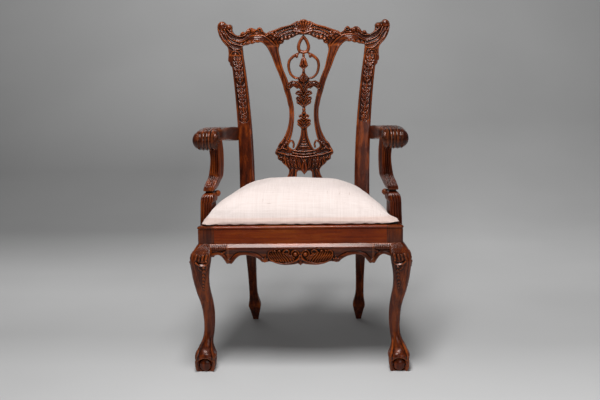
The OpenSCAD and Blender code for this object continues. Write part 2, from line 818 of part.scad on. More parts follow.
function arm_rear_x() = stile_out(arm_h) - 2;

// Height of the arm's underside at depth y, near the hand hold
function arm_under(y) =
    let (f = (y - roll_y - 45) / 45) roll_h + 5 - 4 * f - 14.5;

module arm_shape(gap = 0) {
    rings = [
        for (s = smooth(arm_stations(), 3))
            [for (p = section(s[2] / 2 + gap, s[4] / 2 + gap, 0.45, 20))
                [s[1] + s[2] / 2 + p[0], s[0] + (gap > 0 && s[0] < roll_y + 1 ? -gap : 0), s[3] + p[1]]]];
    loft(rings);
    translate([roll_gap / 2 - gap, roll_y, roll_h]) rotate([0, 90, 0])
        rotate_extrude($fn = 40) roll_profile(gap);
}

// Half section of the hand hold: flat inner end, domed outer end
module roll_profile(gap) {
    r = roll_r + gap;
    dome = 22;
    polygon(concat([[0, 0], [r - 2, 0], [r, 2], [r, roll_w - dome + gap]],
        [for (a = [15 : 15 : 90])
            [r - dome + dome * cos(a), roll_w - dome + (dome + gap) * sin(a)]],
        [[0, roll_w + gap]]));
}

// Tenon from the rear end of the arm into the outer side of the stile
arm_tenon_l = 14;
module arm_tenon(gap = 0) {
    mid_y = back_y(arm_h) + stile_t / 2;
    translate([stile_out(arm_h) - arm_tenon_l - gap, mid_y - 6 - gap, arm_h - 14 - gap])
        cube([arm_tenon_l + gap + 4, 12 + 2 * gap, 28 + 2 * gap]);
}

// Peg that pins each arm's tenon, from the back of the stile
peg_l = 26;
module peg_at(gap = 0) {
    translate([stile_out(arm_h) - arm_tenon_l / 2, back_y(arm_h) + stile_t - peg_l - gap, arm_h])
        rotate([-90, 0, 0]) cylinder(d = 5 + 2 * gap, h = peg_l + gap + 1, $fn = 24);
}

module peg() {
    difference() {
        peg_at();
        translate([0, back_y(arm_h) + stile_t, 0]) cube([half_w, 20, back_h]);
    }
}

module arm_pegs() color(wood_plain) place() {
    peg();
    left_of() peg();
}

// The outer side of the stile that the arm is fitted against
module stile_side() {
    low = arm_h - arm_deep;
    high = arm_h + arm_deep;
    heights = [for (i = [0 : 6]) low + (high - low) * i / 6];
    intersection() {
        through_back() polygon(concat(
            [[0, low]], [for (z = heights) [stile_out(z) + fit_gap, z]], [[0, high]]));
        back_slab(low, high, -fit_gap, stile_t + 20, half_w);
    }
}

module right_arm_piece() {
    difference() {
        union() {
            difference() {
                arm_shape();
                stile_side();
            }
            arm_tenon();
        }
        support_tenon(fit_gap);
        peg_at(fit_gap);
    }
}

module right_arm() color(wood) place() right_arm_piece();
module left_arm() color(wood) place() left_of() right_arm_piece();

// ---------- corner blocks ----------

block_low = rail_z + 6;
block_high = ledge_z - 4;

// Plan corner of the right front block: inside the front rail and the side rail
module front_block() {
    inner_x = side_x(rail_t) - rail_t * side_k - fit_gap;
    near = rail_t + fit_gap;
    difference() {
        plan(block_low, block_high)
            polygon([
                [inner_x, near], [side_x(near + block_l) - rail_t * side_k - fit_gap, near + block_l],
                [inner_x - block_l, near]]);
        plan(block_low - 1, block_high + 1)
            polygon([[half_w - post_w - fit_gap, 0], [half_w, 0], [half_w, post_w + fit_gap],
                [half_w - post_w - fit_gap, post_w + fit_gap]]);
        corner_screws(fit_gap);
    }
}

module rear_block() {
    far = back_rail_y - fit_gap;
    inner_x = side_x(far) - rail_t * side_k - fit_gap;
    difference() {
        plan(block_low, block_high)
            polygon([
                [inner_x, far],
                [side_x(far - block_l) - rail_t * side_k - fit_gap, far - block_l],
                [inner_x - block_l, far]]);
        corner_screws(fit_gap);
    }
}

module front_right_corner_block() color(wood_plain) place() front_block();
module front_left_corner_block() color(wood_plain) place() left_of() front_block();
module rear_right_corner_block() color(wood_plain) place() rear_block();
module rear_left_corner_block() color(wood_plain) place() left_of() rear_block();

// Screws of the two right-hand corner blocks: into the front rail, side rail and back rail
block_screw_l = 34;
module corner_screws(extra = 0) {
    z = (block_low + block_high) / 2;
    sunk = 15;
    front_x = half_w - post_w - 20;
    translate([front_x, rail_t + sunk, z]) rotate([-90, 0, 0]) screw(block_screw_l, extra);
    rear_x = half_back - stile_w - 12;
    translate([rear_x, back_rail_y - sunk, z]) rotate([90, 0, 0]) screw(block_screw_l, extra);
    for (at = [[rail_t + 38, -6], [back_rail_y - 26, 6]])
        translate([side_x(at[0]) - rail_t * side_k - sunk, at[0], z + at[1]])
            rotate([0, -90, 0]) screw(block_screw_l, extra);
}

module corner_block_screws() color(steel) place() {
    corner_screws();
    left_of() corner_screws();
}

// ---------- drop-in seat ----------

cover_gap = 0.2;                          // room between the frame and the cover round it
frame_in = cover_t + cover_gap;

// Plan of the wooden frame's outside
module frame_plan() {
    difference() {
        seat_plan(-frame_in);
        support_notches(seat_gap + frame_in);
    }
}

module frame_front_zone() {
    translate([-half_w, 0]) square([2 * half_w, seat_front_y + frame_in + frame_w]);
}
module frame_back_zone() {
    translate([-half_w, seat_back_y - frame_in - frame_w]) square([2 * half_w, 3 * frame_w]);
}
module frame_side_zone() {
    near = -20;
    far = seat_d + 20;
    in = lip_w + seat_gap + frame_in + frame_w;
    side_strip(0, in, near, far);
}

// Front and back members lap over the side members at the corners
module seat_frame_front() color(wood_plain) place() {
    frame_end_member() frame_front_zone();
}
module seat_frame_back() color(wood_plain) place() {
    frame_end_member() frame_back_zone();
}
module frame_end_member() {
    difference() {
        plan(frame_z, pad_z) intersection() {
            frame_plan();
            children();
        }
        for (side = [-1, 1])
            plan(frame_z - 1, frame_z + frame_t / 2) scale_x(side) frame_side_zone();
        tacks_at() tack_hole();
    }
}

module frame_side_member() {
    difference() {
        plan(frame_z, pad_z) intersection() {
            frame_plan();
            frame_side_zone();
        }
        plan(frame_z + frame_t / 2, pad_z + 1) {
            frame_front_zone();
            frame_back_zone();
        }
        tacks_at() tack_hole();
    }
}
module seat_frame_right() color(wood_plain) place() frame_side_member();
module seat_frame_left() color(wood_plain) place() left_of() frame_side_member();

// Webbing: strips front to back, with strips across lying over them
web_rows = [120, 195, 270, 345];
web_cols = [-140, -70, 0, 70, 140];
web_end = 24;                             // how far the webbing laps onto the frame
module seat_webbing() color("#c8b48a") place() {
    near = seat_front_y + frame_in + frame_w - web_end;
    far = seat_back_y - frame_in - frame_w + web_end;
    difference() {
        union() {
            for (x = web_cols)
                plan(pad_z, pad_z + web_t)
                    translate([x - web_w / 2, near]) square([web_w, far - near]);
            for (y = web_rows) {
                half = web_row_half(y);
                plan(pad_z + web_t, pad_z + 2 * web_t)
                    translate([-half, y - web_w / 2]) square([2 * half, web_w]);
                for (side = [-1, 1])
                    plan(pad_z, pad_z + web_t) scale_x(side)
                        translate([half - web_end, y - web_w / 2]) square([web_end, web_w]);
            }
        }
        tacks_at() tack_hole();
    }
}

// Half length of the strip across at depth y
function web_row_half(y) = side_x(y + web_w / 2) - inset - frame_in - frame_w + web_end;

tack_d = 1.6;
tack_head_d = 7;
module tack() {
    cylinder(d = tack_head_d, h = 0.7, $fn = 20);
    translate([0, 0, -9]) cylinder(d = tack_d, h = 9 + eps, $fn = 16);
}
module tack_hole() translate([0, 0, -9.5]) cylinder(d = tack_d + 0.1, h = 10, $fn = 16);
module tacks_at() {
    near = seat_front_y + frame_in + frame_w - web_end / 2;
    far = seat_back_y - frame_in - frame_w + web_end / 2;
    for (x = web_cols)
        for (y = [near, far])
            for (dx = [-14, 14])
                translate([x + dx, y, pad_z + web_t]) children();
    for (y = web_rows) {
        half = web_row_half(y) - web_end / 2;
        for (side = [-1, 1])
            for (dy = [-14, 14])
                translate([side * half, y + dy, pad_z + 2 * web_t]) children();
    }
}
module webbing_tacks() color("#3a3a3c") place() tacks_at() tack();

// Padded crown: a dome over the drop-in seat's plan, drawn in by shrink all round
module seat_dome(shrink) {
    mid_y = (seat_front_y + seat_back_y) / 2;
    half_d = (seat_back_y - seat_front_y) / 2 - shrink;
    shares = [1, 1, 0.985, 0.96, 0.92, 0.86, 0.78, 0.68, 0.56, 0.42, 0.28, 0.14, 0.04];
    rings = [
        for (i = [0 : len(shares) - 1])
            let (
                f = shares[i],
                p = 0.2 + 0.5 * (1 - f),
                z = i == 0 ? pad_z - 4 : pad_z + (crown_h - shrink) * pow(1 - f * f * f, 0.6))
            [for (k = [0 : 35])
                let (
                    y = mid_y + half_d * f * power(sin(k * 10), p),
                    half_x = side_x(y) - inset - shrink)
                [half_x * f * power(cos(k * 10), p), y, z]]];
    loft(rings);
}

// Drop-in seat's soft outside: crown and skirt, drawn in by shrink and cut round the supports
module seat_soft(low, shrink) {
    difference() {
        union() {
            seat_dome(shrink);
            plan(low, pad_z) seat_plan(-shrink);
        }
        plan(low - 1, seat_h + 140) support_notches(seat_gap + shrink);
    }
}

module seat_cover() color("#f0e3df") place() {
    difference() {
        seat_soft(frame_z, 0);
        seat_soft(frame_z - 1, cover_t);
    }
}

pad_gap = 0.3;
module seat_padding() color("#e8dcc0") place() {
    difference() {
        seat_soft(pad_z - 2, cover_t + pad_gap);
        translate([-half_w, 0, 0]) cube([seat_w, seat_d, pad_z + 2 * web_t + 0.7 + pad_gap]);
    }
}

module seat_dust_cover() color("#222222") place() {
    plan(ledge_z + seat_rest, frame_z) difference() {
        seat_plan(-frame_in - 3);
        support_notches(seat_gap + frame_in + 3);
    }
}

front_left_leg();
front_right_leg();
rear_left_post();
rear_right_post();
crest_rail();
splat();
splat_shoe();
front_seat_rail();
back_seat_rail();
left_seat_rail();
right_seat_rail();
front_apron();
left_apron();
right_apron();
apron_dowels();
front_left_knee_bracket();
front_right_knee_bracket();
side_left_knee_bracket();
side_right_knee_bracket();
left_arm();
right_arm();
left_arm_support();
right_arm_support();
front_left_corner_block();
front_right_corner_block();
rear_left_corner_block();
rear_right_corner_block();
corner_block_screws();
arm_support_screws();
arm_pegs();
seat_frame_front();
seat_frame_back();
seat_frame_left();
seat_frame_right();
seat_webbing();
webbing_tacks();
seat_padding();
seat_cover();
seat_dust_cover();
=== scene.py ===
import math
import bmesh
import bpy
import numpy as np
from mathutils import Matrix, Vector


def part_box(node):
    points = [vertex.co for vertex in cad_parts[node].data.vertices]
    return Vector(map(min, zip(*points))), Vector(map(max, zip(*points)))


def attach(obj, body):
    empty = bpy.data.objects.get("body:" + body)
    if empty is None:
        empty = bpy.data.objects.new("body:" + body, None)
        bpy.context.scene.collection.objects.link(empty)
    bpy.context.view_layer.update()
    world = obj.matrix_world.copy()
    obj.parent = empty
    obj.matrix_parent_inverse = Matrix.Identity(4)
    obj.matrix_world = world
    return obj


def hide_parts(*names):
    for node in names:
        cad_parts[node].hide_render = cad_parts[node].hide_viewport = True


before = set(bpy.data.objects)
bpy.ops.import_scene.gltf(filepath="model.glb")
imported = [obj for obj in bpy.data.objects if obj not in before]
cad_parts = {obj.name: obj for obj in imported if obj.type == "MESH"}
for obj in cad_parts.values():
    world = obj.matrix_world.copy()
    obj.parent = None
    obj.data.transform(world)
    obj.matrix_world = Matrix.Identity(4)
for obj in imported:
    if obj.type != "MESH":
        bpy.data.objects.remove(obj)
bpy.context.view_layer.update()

# Shapes are worked out in millimetres in "seat coordinates": y = 0 is the front rail's face.
FRONT_Y = -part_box("front_seat_rail")[0].y * 1000
SEAT_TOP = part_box("front_seat_rail")[1].z * 1000
RAIL_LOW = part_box("front_seat_rail")[0].z * 1000
HALF_W = 300.0          # half the seat's width over the front rail
HALF_BACK = 217.0       # half the back's width at the seat
SEAT_D = 450.0          # from the front rail's face to the back's
TAPER = (HALF_W - HALF_BACK) / SEAT_D
SIDE_K = math.sqrt(1 + TAPER * TAPER)
LEG_TOP = 386.0         # where a leg's round part ends, under the seat rails
LEDGE_Z = 426.0         # ledge that the drop-in seat lies on
LIP_TOP = 438.0         # top of the lip round the seat
STILE_TOP = 915.0       # where the stiles run into the crest rail
CARVED_FROM = 684.0     # height at which the stiles' carving begins
BACK_RAKE = math.radians(7.4)
BACK_CURVE = 50.0 / 598.0 ** 2


def side_x(y):
    """Outer face of a side rail at depth y."""
    return HALF_W - TAPER * y


def back_y(z):
    """Front face of the back at height z."""
    rise = np.asarray(z, float) - SEAT_TOP
    return SEAT_D + math.tan(BACK_RAKE) * rise + BACK_CURVE * rise * rise


def side_name(side):
    return "right" if side > 0 else "left"


def smoothstep(share):
    """0 to 1 with a soft start and end."""
    return share * share * (3 - 2 * share)


def placed(name, data):
    """A new object in the scene."""
    made = bpy.data.objects.new(name, data)
    bpy.context.scene.collection.objects.link(made)
    return made


# ---------- camera ----------

def make_camera():
    """Camera at the photo's place, seen in the record's frame."""
    yaw, pitch, roll = (math.radians(a) for a in (-2.10, 9.63, -0.86))
    ahead = Vector((math.sin(yaw) * math.cos(pitch), math.cos(yaw) * math.cos(pitch), -math.sin(pitch)))
    level = Vector((math.cos(yaw), -math.sin(yaw), 0))
    upright = level.cross(ahead)
    right = math.cos(roll) * level + math.sin(roll) * upright
    up = -math.sin(roll) * level + math.cos(roll) * upright
    data = bpy.data.cameras.new("camera")
    data.lens = 61.99
    data.sensor_width = 36
    camera = placed("camera", data)
    camera.location = (0.1096, -2.9582 - FRONT_Y / 1000, 1.0166)
    turn = np.array([right, up, -ahead]).T
    camera.rotation_euler = Matrix(turn.tolist()).to_euler()
    bpy.context.scene.camera = camera


# ---------- node helpers ----------

class Nodes:
    """A material's node tree, with short calls for the nodes used here."""

    def __init__(self, name):
        self.material = bpy.data.materials.new(name)
        self.material.use_nodes = True
        self.tree = self.material.node_tree
        self.shader = self.tree.nodes["Principled BSDF"]

    def node(self, kind, **settings):
        made = self.tree.nodes.new(kind)
        for key, value in settings.items():
            setattr(made, key, value)
        return made

    def link(self, source, target):
        self.tree.links.new(source, target)

    def place(self, scale):
        """The object's own coordinates, drawn out by a scale along x, y and z."""
        coords = self.node("ShaderNodeTexCoord")
        mapping = self.node("ShaderNodeMapping")
        mapping.inputs["Scale"].default_value = scale
        self.link(coords.outputs["Object"], mapping.inputs["Vector"])
        return mapping.outputs["Vector"]

    def noise(self, scale, detail, roughness, distortion=0.0):
        vector = self.place(scale)
        made = self.node("ShaderNodeTexNoise")
        made.inputs["Scale"].default_value = 1.0
        made.inputs["Detail"].default_value = detail
        made.inputs["Roughness"].default_value = roughness
        made.inputs["Distortion"].default_value = distortion
        self.link(vector, made.inputs["Vector"])
        return made.outputs["Fac"]

    def ramp(self, value, stops):
        made = self.node("ShaderNodeValToRGB")
        ramp = made.color_ramp
        while len(ramp.elements) < len(stops):
            ramp.elements.new(0.5)
        for element, (at, colour) in zip(ramp.elements, stops):
            element.position = at
            element.color = (*colour, 1)
        self.link(value, made.inputs["Fac"])
        return made.outputs["Color"]

    def grey(self, value, stops):
        return self.ramp(value, [(at, (g, g, g)) for at, g in stops])

    def feed(self, target, value):
        """Sets a socket to a number or a colour, or links another socket to it."""
        if isinstance(value, (int, float)):
            target.default_value = value
        elif isinstance(value, tuple):
            target.default_value = (*value, 1)
        else:
            self.link(value, target)

    def mix(self, kind, fac, a, b):
        made = self.node("ShaderNodeMix", data_type="RGBA", blend_type=kind)
        for socket, value in ((0, fac), (6, a), (7, b)):
            self.feed(made.inputs[socket], value)
        return made.outputs[2]

    def math(self, operation, *values):
        made = self.node("ShaderNodeMath", operation=operation)
        for target, value in zip(made.inputs, values):
            self.feed(target, value)
        return made.outputs[0]

    def bump(self, height, distance, strength, below=None):
        made = self.node("ShaderNodeBump")
        made.inputs["Distance"].default_value = distance
        made.inputs["Strength"].default_value = strength
        self.link(height, made.inputs["Height"])
        if below is not None:
            self.link(below, made.inputs["Normal"])
        return made.outputs["Normal"]

    def relief(self):
        """Height above or below the smoothed surface: 0 in a recess, 1 on a ridge."""
        made = self.node("ShaderNodeAttribute", attribute_name="relief")
        return made.outputs["Fac"]


def srgb(r, g, b):
    """Linear colour of screen levels from 0 to 255."""
    return tuple(((c / 255 + 0.055) / 1.055) ** 2.4 if c > 10 else c / 255 / 12.92 for c in (r, g, b))


GRAIN = {"x": (6, 90, 90), "y": (90, 6, 90), "z": (90, 90, 6)}


def mahogany(name, grain, dark=(24, 5, 1), mid=(82, 27, 4), light=(154, 70, 17)):
    """Polished mahogany with long grain along one axis, with painted shade in its recesses and painted
    highlights, partly real wear, on its ridges.
    """
    n = Nodes(name)
    scale = GRAIN[grain]
    figure = n.noise(scale, 5, 0.6, 0.4)
    cloud = n.noise((5, 5, 5), 3, 0.5)
    pores = n.noise(tuple(s * 9 for s in scale), 2, 0.6)
    tone = n.math("ADD", n.math("MULTIPLY", figure, 0.62), n.math("MULTIPLY", cloud, 0.38))
    colour = n.ramp(tone, [(0.34, srgb(*dark)), (0.5, srgb(*mid)), (0.68, srgb(*light))])
    colour = n.mix("MULTIPLY", 0.35, colour, n.grey(pores, [(0.36, 0.35), (0.5, 1.0)]))
    # painted shade and highlight: carved recesses darken almost to black and ridges lighten
    recess = n.grey(n.relief(), [(0.18, 0.03), (0.4, 0.25), (0.5, 0.85), (0.64, 1.2), (0.9, 1.5)])
    colour = n.mix("MULTIPLY", 1.0, colour, recess)
    # ridges are mixed towards pale tan: partly real wear of the polish, partly a painted highlight
    wear_and_highlight = n.math("MULTIPLY", n.grey(n.relief(), [(0.58, 0.0), (0.95, 1.0)]), 0.3)
    colour = n.mix("MIX", wear_and_highlight, colour, srgb(150, 90, 50))
    n.link(colour, n.shader.inputs["Base Color"])
    rough = n.grey(n.noise((14, 14, 14), 4, 0.6), [(0.3, 0.2), (0.7, 0.34)])
    # faces that look sideways are duller than the fronts and tops
    facing = n.node("ShaderNodeSeparateXYZ")
    n.link(n.node("ShaderNodeNewGeometry").outputs["True Normal"], facing.inputs["Vector"])
    dull = n.grey(n.math("ABSOLUTE", facing.outputs["X"]), [(0.8, 0.0), (0.97, 0.34)])
    n.link(n.math("ADD", rough, dull), n.shader.inputs["Roughness"])
    n.shader.inputs["Coat Weight"].default_value = 0.13
    n.shader.inputs["Coat IOR"].default_value = 2.1
    n.shader.inputs["Coat Roughness"].default_value = 0.14
    n.shader.inputs["Specular Tint"].default_value = (1.0, 0.52, 0.4, 1)
    n.shader.inputs["IOR"].default_value = 1.3
    n.link(n.bump(pores, 0.00025, 0.6), n.shader.inputs["Normal"])
    return n.material


# ---------- lines and carving ----------

def curve(points, steps=6):
    """Smooth line through the points."""
    p = np.asarray(points, float)
    q = np.vstack([2 * p[0] - p[1], p, 2 * p[-1] - p[-2]])
    t = np.linspace(0, 1, steps, endpoint=False)[:, None]
    parts = []
    for a, b, c, d in zip(q, q[1:], q[2:], q[3:]):
        parts.append(0.5 * (2 * b + (c - a) * t + (2 * a - 5 * b + 4 * c - d) * t ** 2
                            + (3 * b - a - 3 * c + d) * t ** 3))
    return np.vstack(parts + [p[-1:]])


def spiral(centre, r0, r1, a0, a1, steps=40):
    """Line that winds from radius r0 at angle a0 to r1 at a1, in degrees."""
    a = np.radians(np.linspace(a0, a1, steps))
    r = np.linspace(r0, r1, steps)
    return np.column_stack([centre[0] + r * np.cos(a), centre[1] + r * np.sin(a)])


def lookup(table):
    """Smooth function through rows of (key, values...), keys in any order."""
    rows = curve(sorted(table))
    keys, first = np.unique(rows[:, 0], return_index=True)
    rows = rows[first]
    return lambda z: np.column_stack([np.interp(z, keys, rows[:, k]) for k in range(1, rows.shape[1])])


REACH = 9.0             # how far from its outline a silhouette is worked out
FAR = 99.0


class Relief:
    """A carved surface: a height in mm over a grid of u and v, and the piece's silhouette."""

    def __init__(self, u0, u1, v0, v1, step=0.8):
        self.step = step
        self.u = np.arange(u0, u1 + step, step)
        self.v = np.arange(v0, v1 + step, step)
        self.U, self.V = np.meshgrid(self.u, self.v)
        self.h = np.zeros_like(self.U)
        self.f = np.full_like(self.U, -REACH)
        self.keep = np.ones_like(self.U, bool)

    def window(self, path, pad):
        low, high = path.min(0) - pad, path.max(0) + pad
        i0, j0 = (max(0, int((low[k] - axis[0]) / self.step)) for k, axis in enumerate((self.u, self.v)))
        i1, j1 = (max(0, int((high[k] - axis[0]) / self.step) + 2) for k, axis in enumerate((self.u, self.v)))
        return slice(j0, j1), slice(i0, i1)

    def near(self, path, pad):
        """The part of the grid near a line, and there its distance and its share along the line."""
        path = np.asarray(path, float)
        w = self.window(path, pad)
        U, V = self.U[w], self.V[w]
        best, along = np.full(U.shape, 1e6), np.zeros(U.shape)
        lengths = np.hypot(*np.diff(path, axis=0).T)
        total, done = max(lengths.sum(), 1e-6), 0.0
        for a, b, length in zip(path, path[1:], lengths):
            if length < 1e-9:
                continue
            du, dv = (b - a) / length
            s = np.clip((U - a[0]) * du + (V - a[1]) * dv, 0, length)
            x, y = U - a[0] - s * du, V - a[1] - s * dv
            d = x * x + y * y
            closer = d < best
            best[closer] = d[closer]
            along[closer] = ((done + s) / total)[closer]
            done += length
        return w, np.sqrt(best), along

    def distance(self, path, pad):
        """Distance from a line within pad of it, and FAR elsewhere."""
        grid = np.full(self.U.shape, FAR)
        w, d, _ = self.near(path, pad)
        grid[w] = d
        return grid

    # -- silhouette --

    def inside(self, outline):
        outline = np.asarray(outline, float)
        hit = np.zeros(self.U.shape, bool)
        for (ua, va), (ub, vb) in zip(outline, np.roll(outline, -1, 0)):
            if va == vb:
                continue
            rows = slice(*np.searchsorted(self.v, sorted((va, vb))))
            cross = ua + (ub - ua) * (self.v[rows] - va) / (vb - va)
            hit[rows] ^= self.u[None, :] < cross[:, None]
        return hit

    def signed(self, outline):
        """Distance inside an outline, less than 0 outside it."""
        outline = np.asarray(outline, float)
        d = np.full(self.U.shape, REACH)
        for a, b in zip(outline, np.roll(outline, -1, 0)):
            if np.allclose(a, b):
                continue
            w, near, _ = self.near([a, b], REACH)
            d[w] = np.minimum(d[w], near)
        return np.where(self.inside(outline), d, -d)

    def area(self, outline):
        self.f = np.maximum(self.f, self.signed(outline))

    def hole(self, outline):
        self.f = np.minimum(self.f, -self.signed(outline))

    def limb(self, path, w0, w1=None):
        """Adds a strip round a line to the silhouette."""
        w1 = w0 if w1 is None else w1
        w, d, t = self.near(path, max(w0, w1) + REACH)
        self.f[w] = np.maximum(self.f[w], w0 + (w1 - w0) * t - d)

    # -- carving --

    def put(self, w, on, value, over):
        """Adds value to the surface or, where on holds, lays it over the ground at height over."""
        if over is None:
            self.h[w] += value
        else:
            self.h[w] = np.maximum(self.h[w], np.where(on, over + value, -FAR))

    def ridge(self, path, width, height, end=None, over=None):
        """Rounded cord of half width width (end at the far end)."""
        end = width if end is None else end
        w, d, t = self.near(path, max(width, end))
        r = np.maximum(width + (end - width) * t, 0.05)
        x = np.clip(1 - (d / r) ** 2, 0, 1) ** 0.5
        value = height * x * np.where(r < 1.2, r / 1.2, 1)
        self.put(w, x > 0, value, over)

    def groove(self, path, width, depth, end=None):
        """Rounded groove of half width width (end at the far end)."""
        end = width if end is None else end
        w, d, t = self.near(path, max(width, end))
        r = np.maximum(width + (end - width) * t, 0.05)
        self.h[w] -= depth * np.clip(1 - (d / r) ** 2, 0, 1) ** 1.5

    def ball(self, u, v, r, height, rv=None, turn=0.0, over=None):
        """Round or oval knob, turned by an angle in degrees."""
        rv = r if rv is None else rv
        w = self.window(np.array([[u, v]]), max(r, rv))
        c, s = math.cos(math.radians(turn)), math.sin(math.radians(turn))
        x, y = self.U[w] - u, self.V[w] - v
        q = np.clip(1 - ((c * x + s * y) / r) ** 2 - ((c * y - s * x) / rv) ** 2, 0, 1)
        self.put(w, q > 0, height * np.sqrt(q), over)

    def leaf(self, path, width, height, lobes=4, cut=0.35, vein=0.8, base=0.0, blunt=0.6):
        """Carved leaf along a line: lobed edges, a middle vein and a rib in each lobe."""
        w, d, t = self.near(curve(path), width * 1.05)
        shape = np.sin(np.pi * np.clip(t, 0, 1) ** blunt) ** 0.7
        shape = np.where(t <= 0, 0, shape)
        saw = (t * lobes) % 1
        reach = np.maximum(width * shape * (1 - cut * saw), 0.01)
        s = d / reach
        on = (s < 1) & (t > 0) & (t < 1)
        dome = np.clip(1 - s ** 2.4, 0, 1) ** 0.5
        rib = 0.5 + 0.5 * np.cos(2 * np.pi * (t * lobes - 0.75 * s))
        value = height * dome * (0.62 + 0.38 * rib) - vein * np.exp(-(d / 0.9) ** 2) * (dome > 0)
        self.put(w, on, value, base)

    def fan(self, u, v, r0, r1, a0, a1, ribs, height, scallop, base):
        """Shell of ribs that spread from a point, between two angles in degrees."""
        w = self.window(np.array([[u, v]]), r1)
        x, y = self.U[w] - u, self.V[w] - v
        r = np.hypot(x, y)
        a = (np.degrees(np.arctan2(y, x)) - a0) % 360
        share = a / (a1 - a0)
        wave = np.abs(np.sin(np.pi * share * ribs))
        edge = r1 * (1 - scallop * (1 - wave))
        lip = np.clip((edge - r) / (0.12 * r1), 0, 1) ** 0.5
        on = (share <= 1) & (r > r0) & (r < edge)
        self.put(w, on, height * (0.35 + 0.65 * wave ** 0.7) * lip, base)

    def soften(self):
        """Takes the sharpness off the carving."""
        p = np.pad(self.h, 1, mode="edge")
        self.h = (p[1:-1, 1:-1] * 4 + (p[:-2, 1:-1] + p[2:, 1:-1] + p[1:-1, :-2] + p[1:-1, 2:]) * 2
                  + p[:-2, :-2] + p[:-2, 2:] + p[2:, :-2] + p[2:, 2:]) / 16

    def at(self, u, v):
        """Height at any points."""
        return self.sample(self.h, u, v)

    def sample(self, field, u, v):
        """A field of the grid at any points, worked out between its four nearest corners."""
        x = np.clip((np.asarray(u, float) - self.u[0]) / self.step, 0, len(self.u) - 1.001)
        y = np.clip((np.asarray(v, float) - self.v[0]) / self.step, 0, len(self.v) - 1.001)
        i, j = x.astype(int), y.astype(int)
        a, b = x - i, y - j
        return ((field[j, i] * (1 - a) + field[j, i + 1] * a) * (1 - b)
                + (field[j + 1, i] * (1 - a) + field[j + 1, i + 1] * a) * b)


# ---------- meshes ----------

SMOOTHINGS = 10


def get_points(mesh):
    co = np.empty(len(mesh.vertices) * 3)
    mesh.vertices.foreach_get("co", co)
    return co.reshape(-1, 3)


def get_normals(mesh):
    normals = np.empty(len(mesh.vertices) * 3)
    mesh.vertex_normals.foreach_get("vector", normals)
    return normals.reshape(-1, 3)


def relief_of(points, edges, normals):
    """How far each point stands above its smoothed surroundings; 0.5 where level or the mesh is coarse."""
    n = len(points)
    a, b = edges.T
    lengths = np.linalg.norm(points[a] - points[b], axis=1)
    ends, others = np.concatenate([a, b]), np.concatenate([b, a])
    count = np.maximum(np.bincount(ends, minlength=n), 1)
    smooth = points.copy()
    for _ in range(SMOOTHINGS):
        smooth = np.column_stack([np.bincount(ends, smooth[others, k], n) / count for k in range(3)])
    out = ((points - smooth) * normals).sum(1)
    longest = np.zeros(n)
    np.maximum.at(longest, ends, np.concatenate([lengths, lengths]))
    return np.clip(0.5 + out / 2.4 * np.clip(2.5 - longest / 2, 0, 1), 0, 1)


def finish_piece(name, points, faces, material, node, body="frame", slot="mahogany", mirror=False, sharp=40):
    """Object from points in mm in seat coordinates, standing for a CAD node where one is named."""
    points = np.asarray(points, float)
    if mirror:
        points = points * (-1, 1, 1)
    mesh = bpy.data.meshes.new(name)
    mesh.from_pydata(((points - (0, FRONT_Y, 0)) * 0.001).tolist(), [], faces)
    bm = bmesh.new()
    bm.from_mesh(mesh)
    bmesh.ops.remove_doubles(bm, verts=bm.verts, dist=0.00002)
    bmesh.ops.recalc_face_normals(bm, faces=bm.faces)
    bm.to_mesh(mesh)
    bm.free()
    edges = np.empty(len(mesh.edges) * 2, int)
    mesh.edges.foreach_get("vertices", edges)
    value = relief_of(get_points(mesh) * 1000, edges.reshape(-1, 2), get_normals(mesh))
    layer = mesh.attributes.new("relief", "FLOAT", "POINT")
    layer.data.foreach_set("value", value.astype(np.float32))
    mesh.polygons.foreach_set("use_smooth", np.ones(len(mesh.polygons), bool))
    mesh.set_sharp_from_angle(angle=math.radians(sharp))
    mesh.materials.append(material)
    made = placed(name, mesh)
    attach(made, body)
    if node:
        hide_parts(node)
    return made


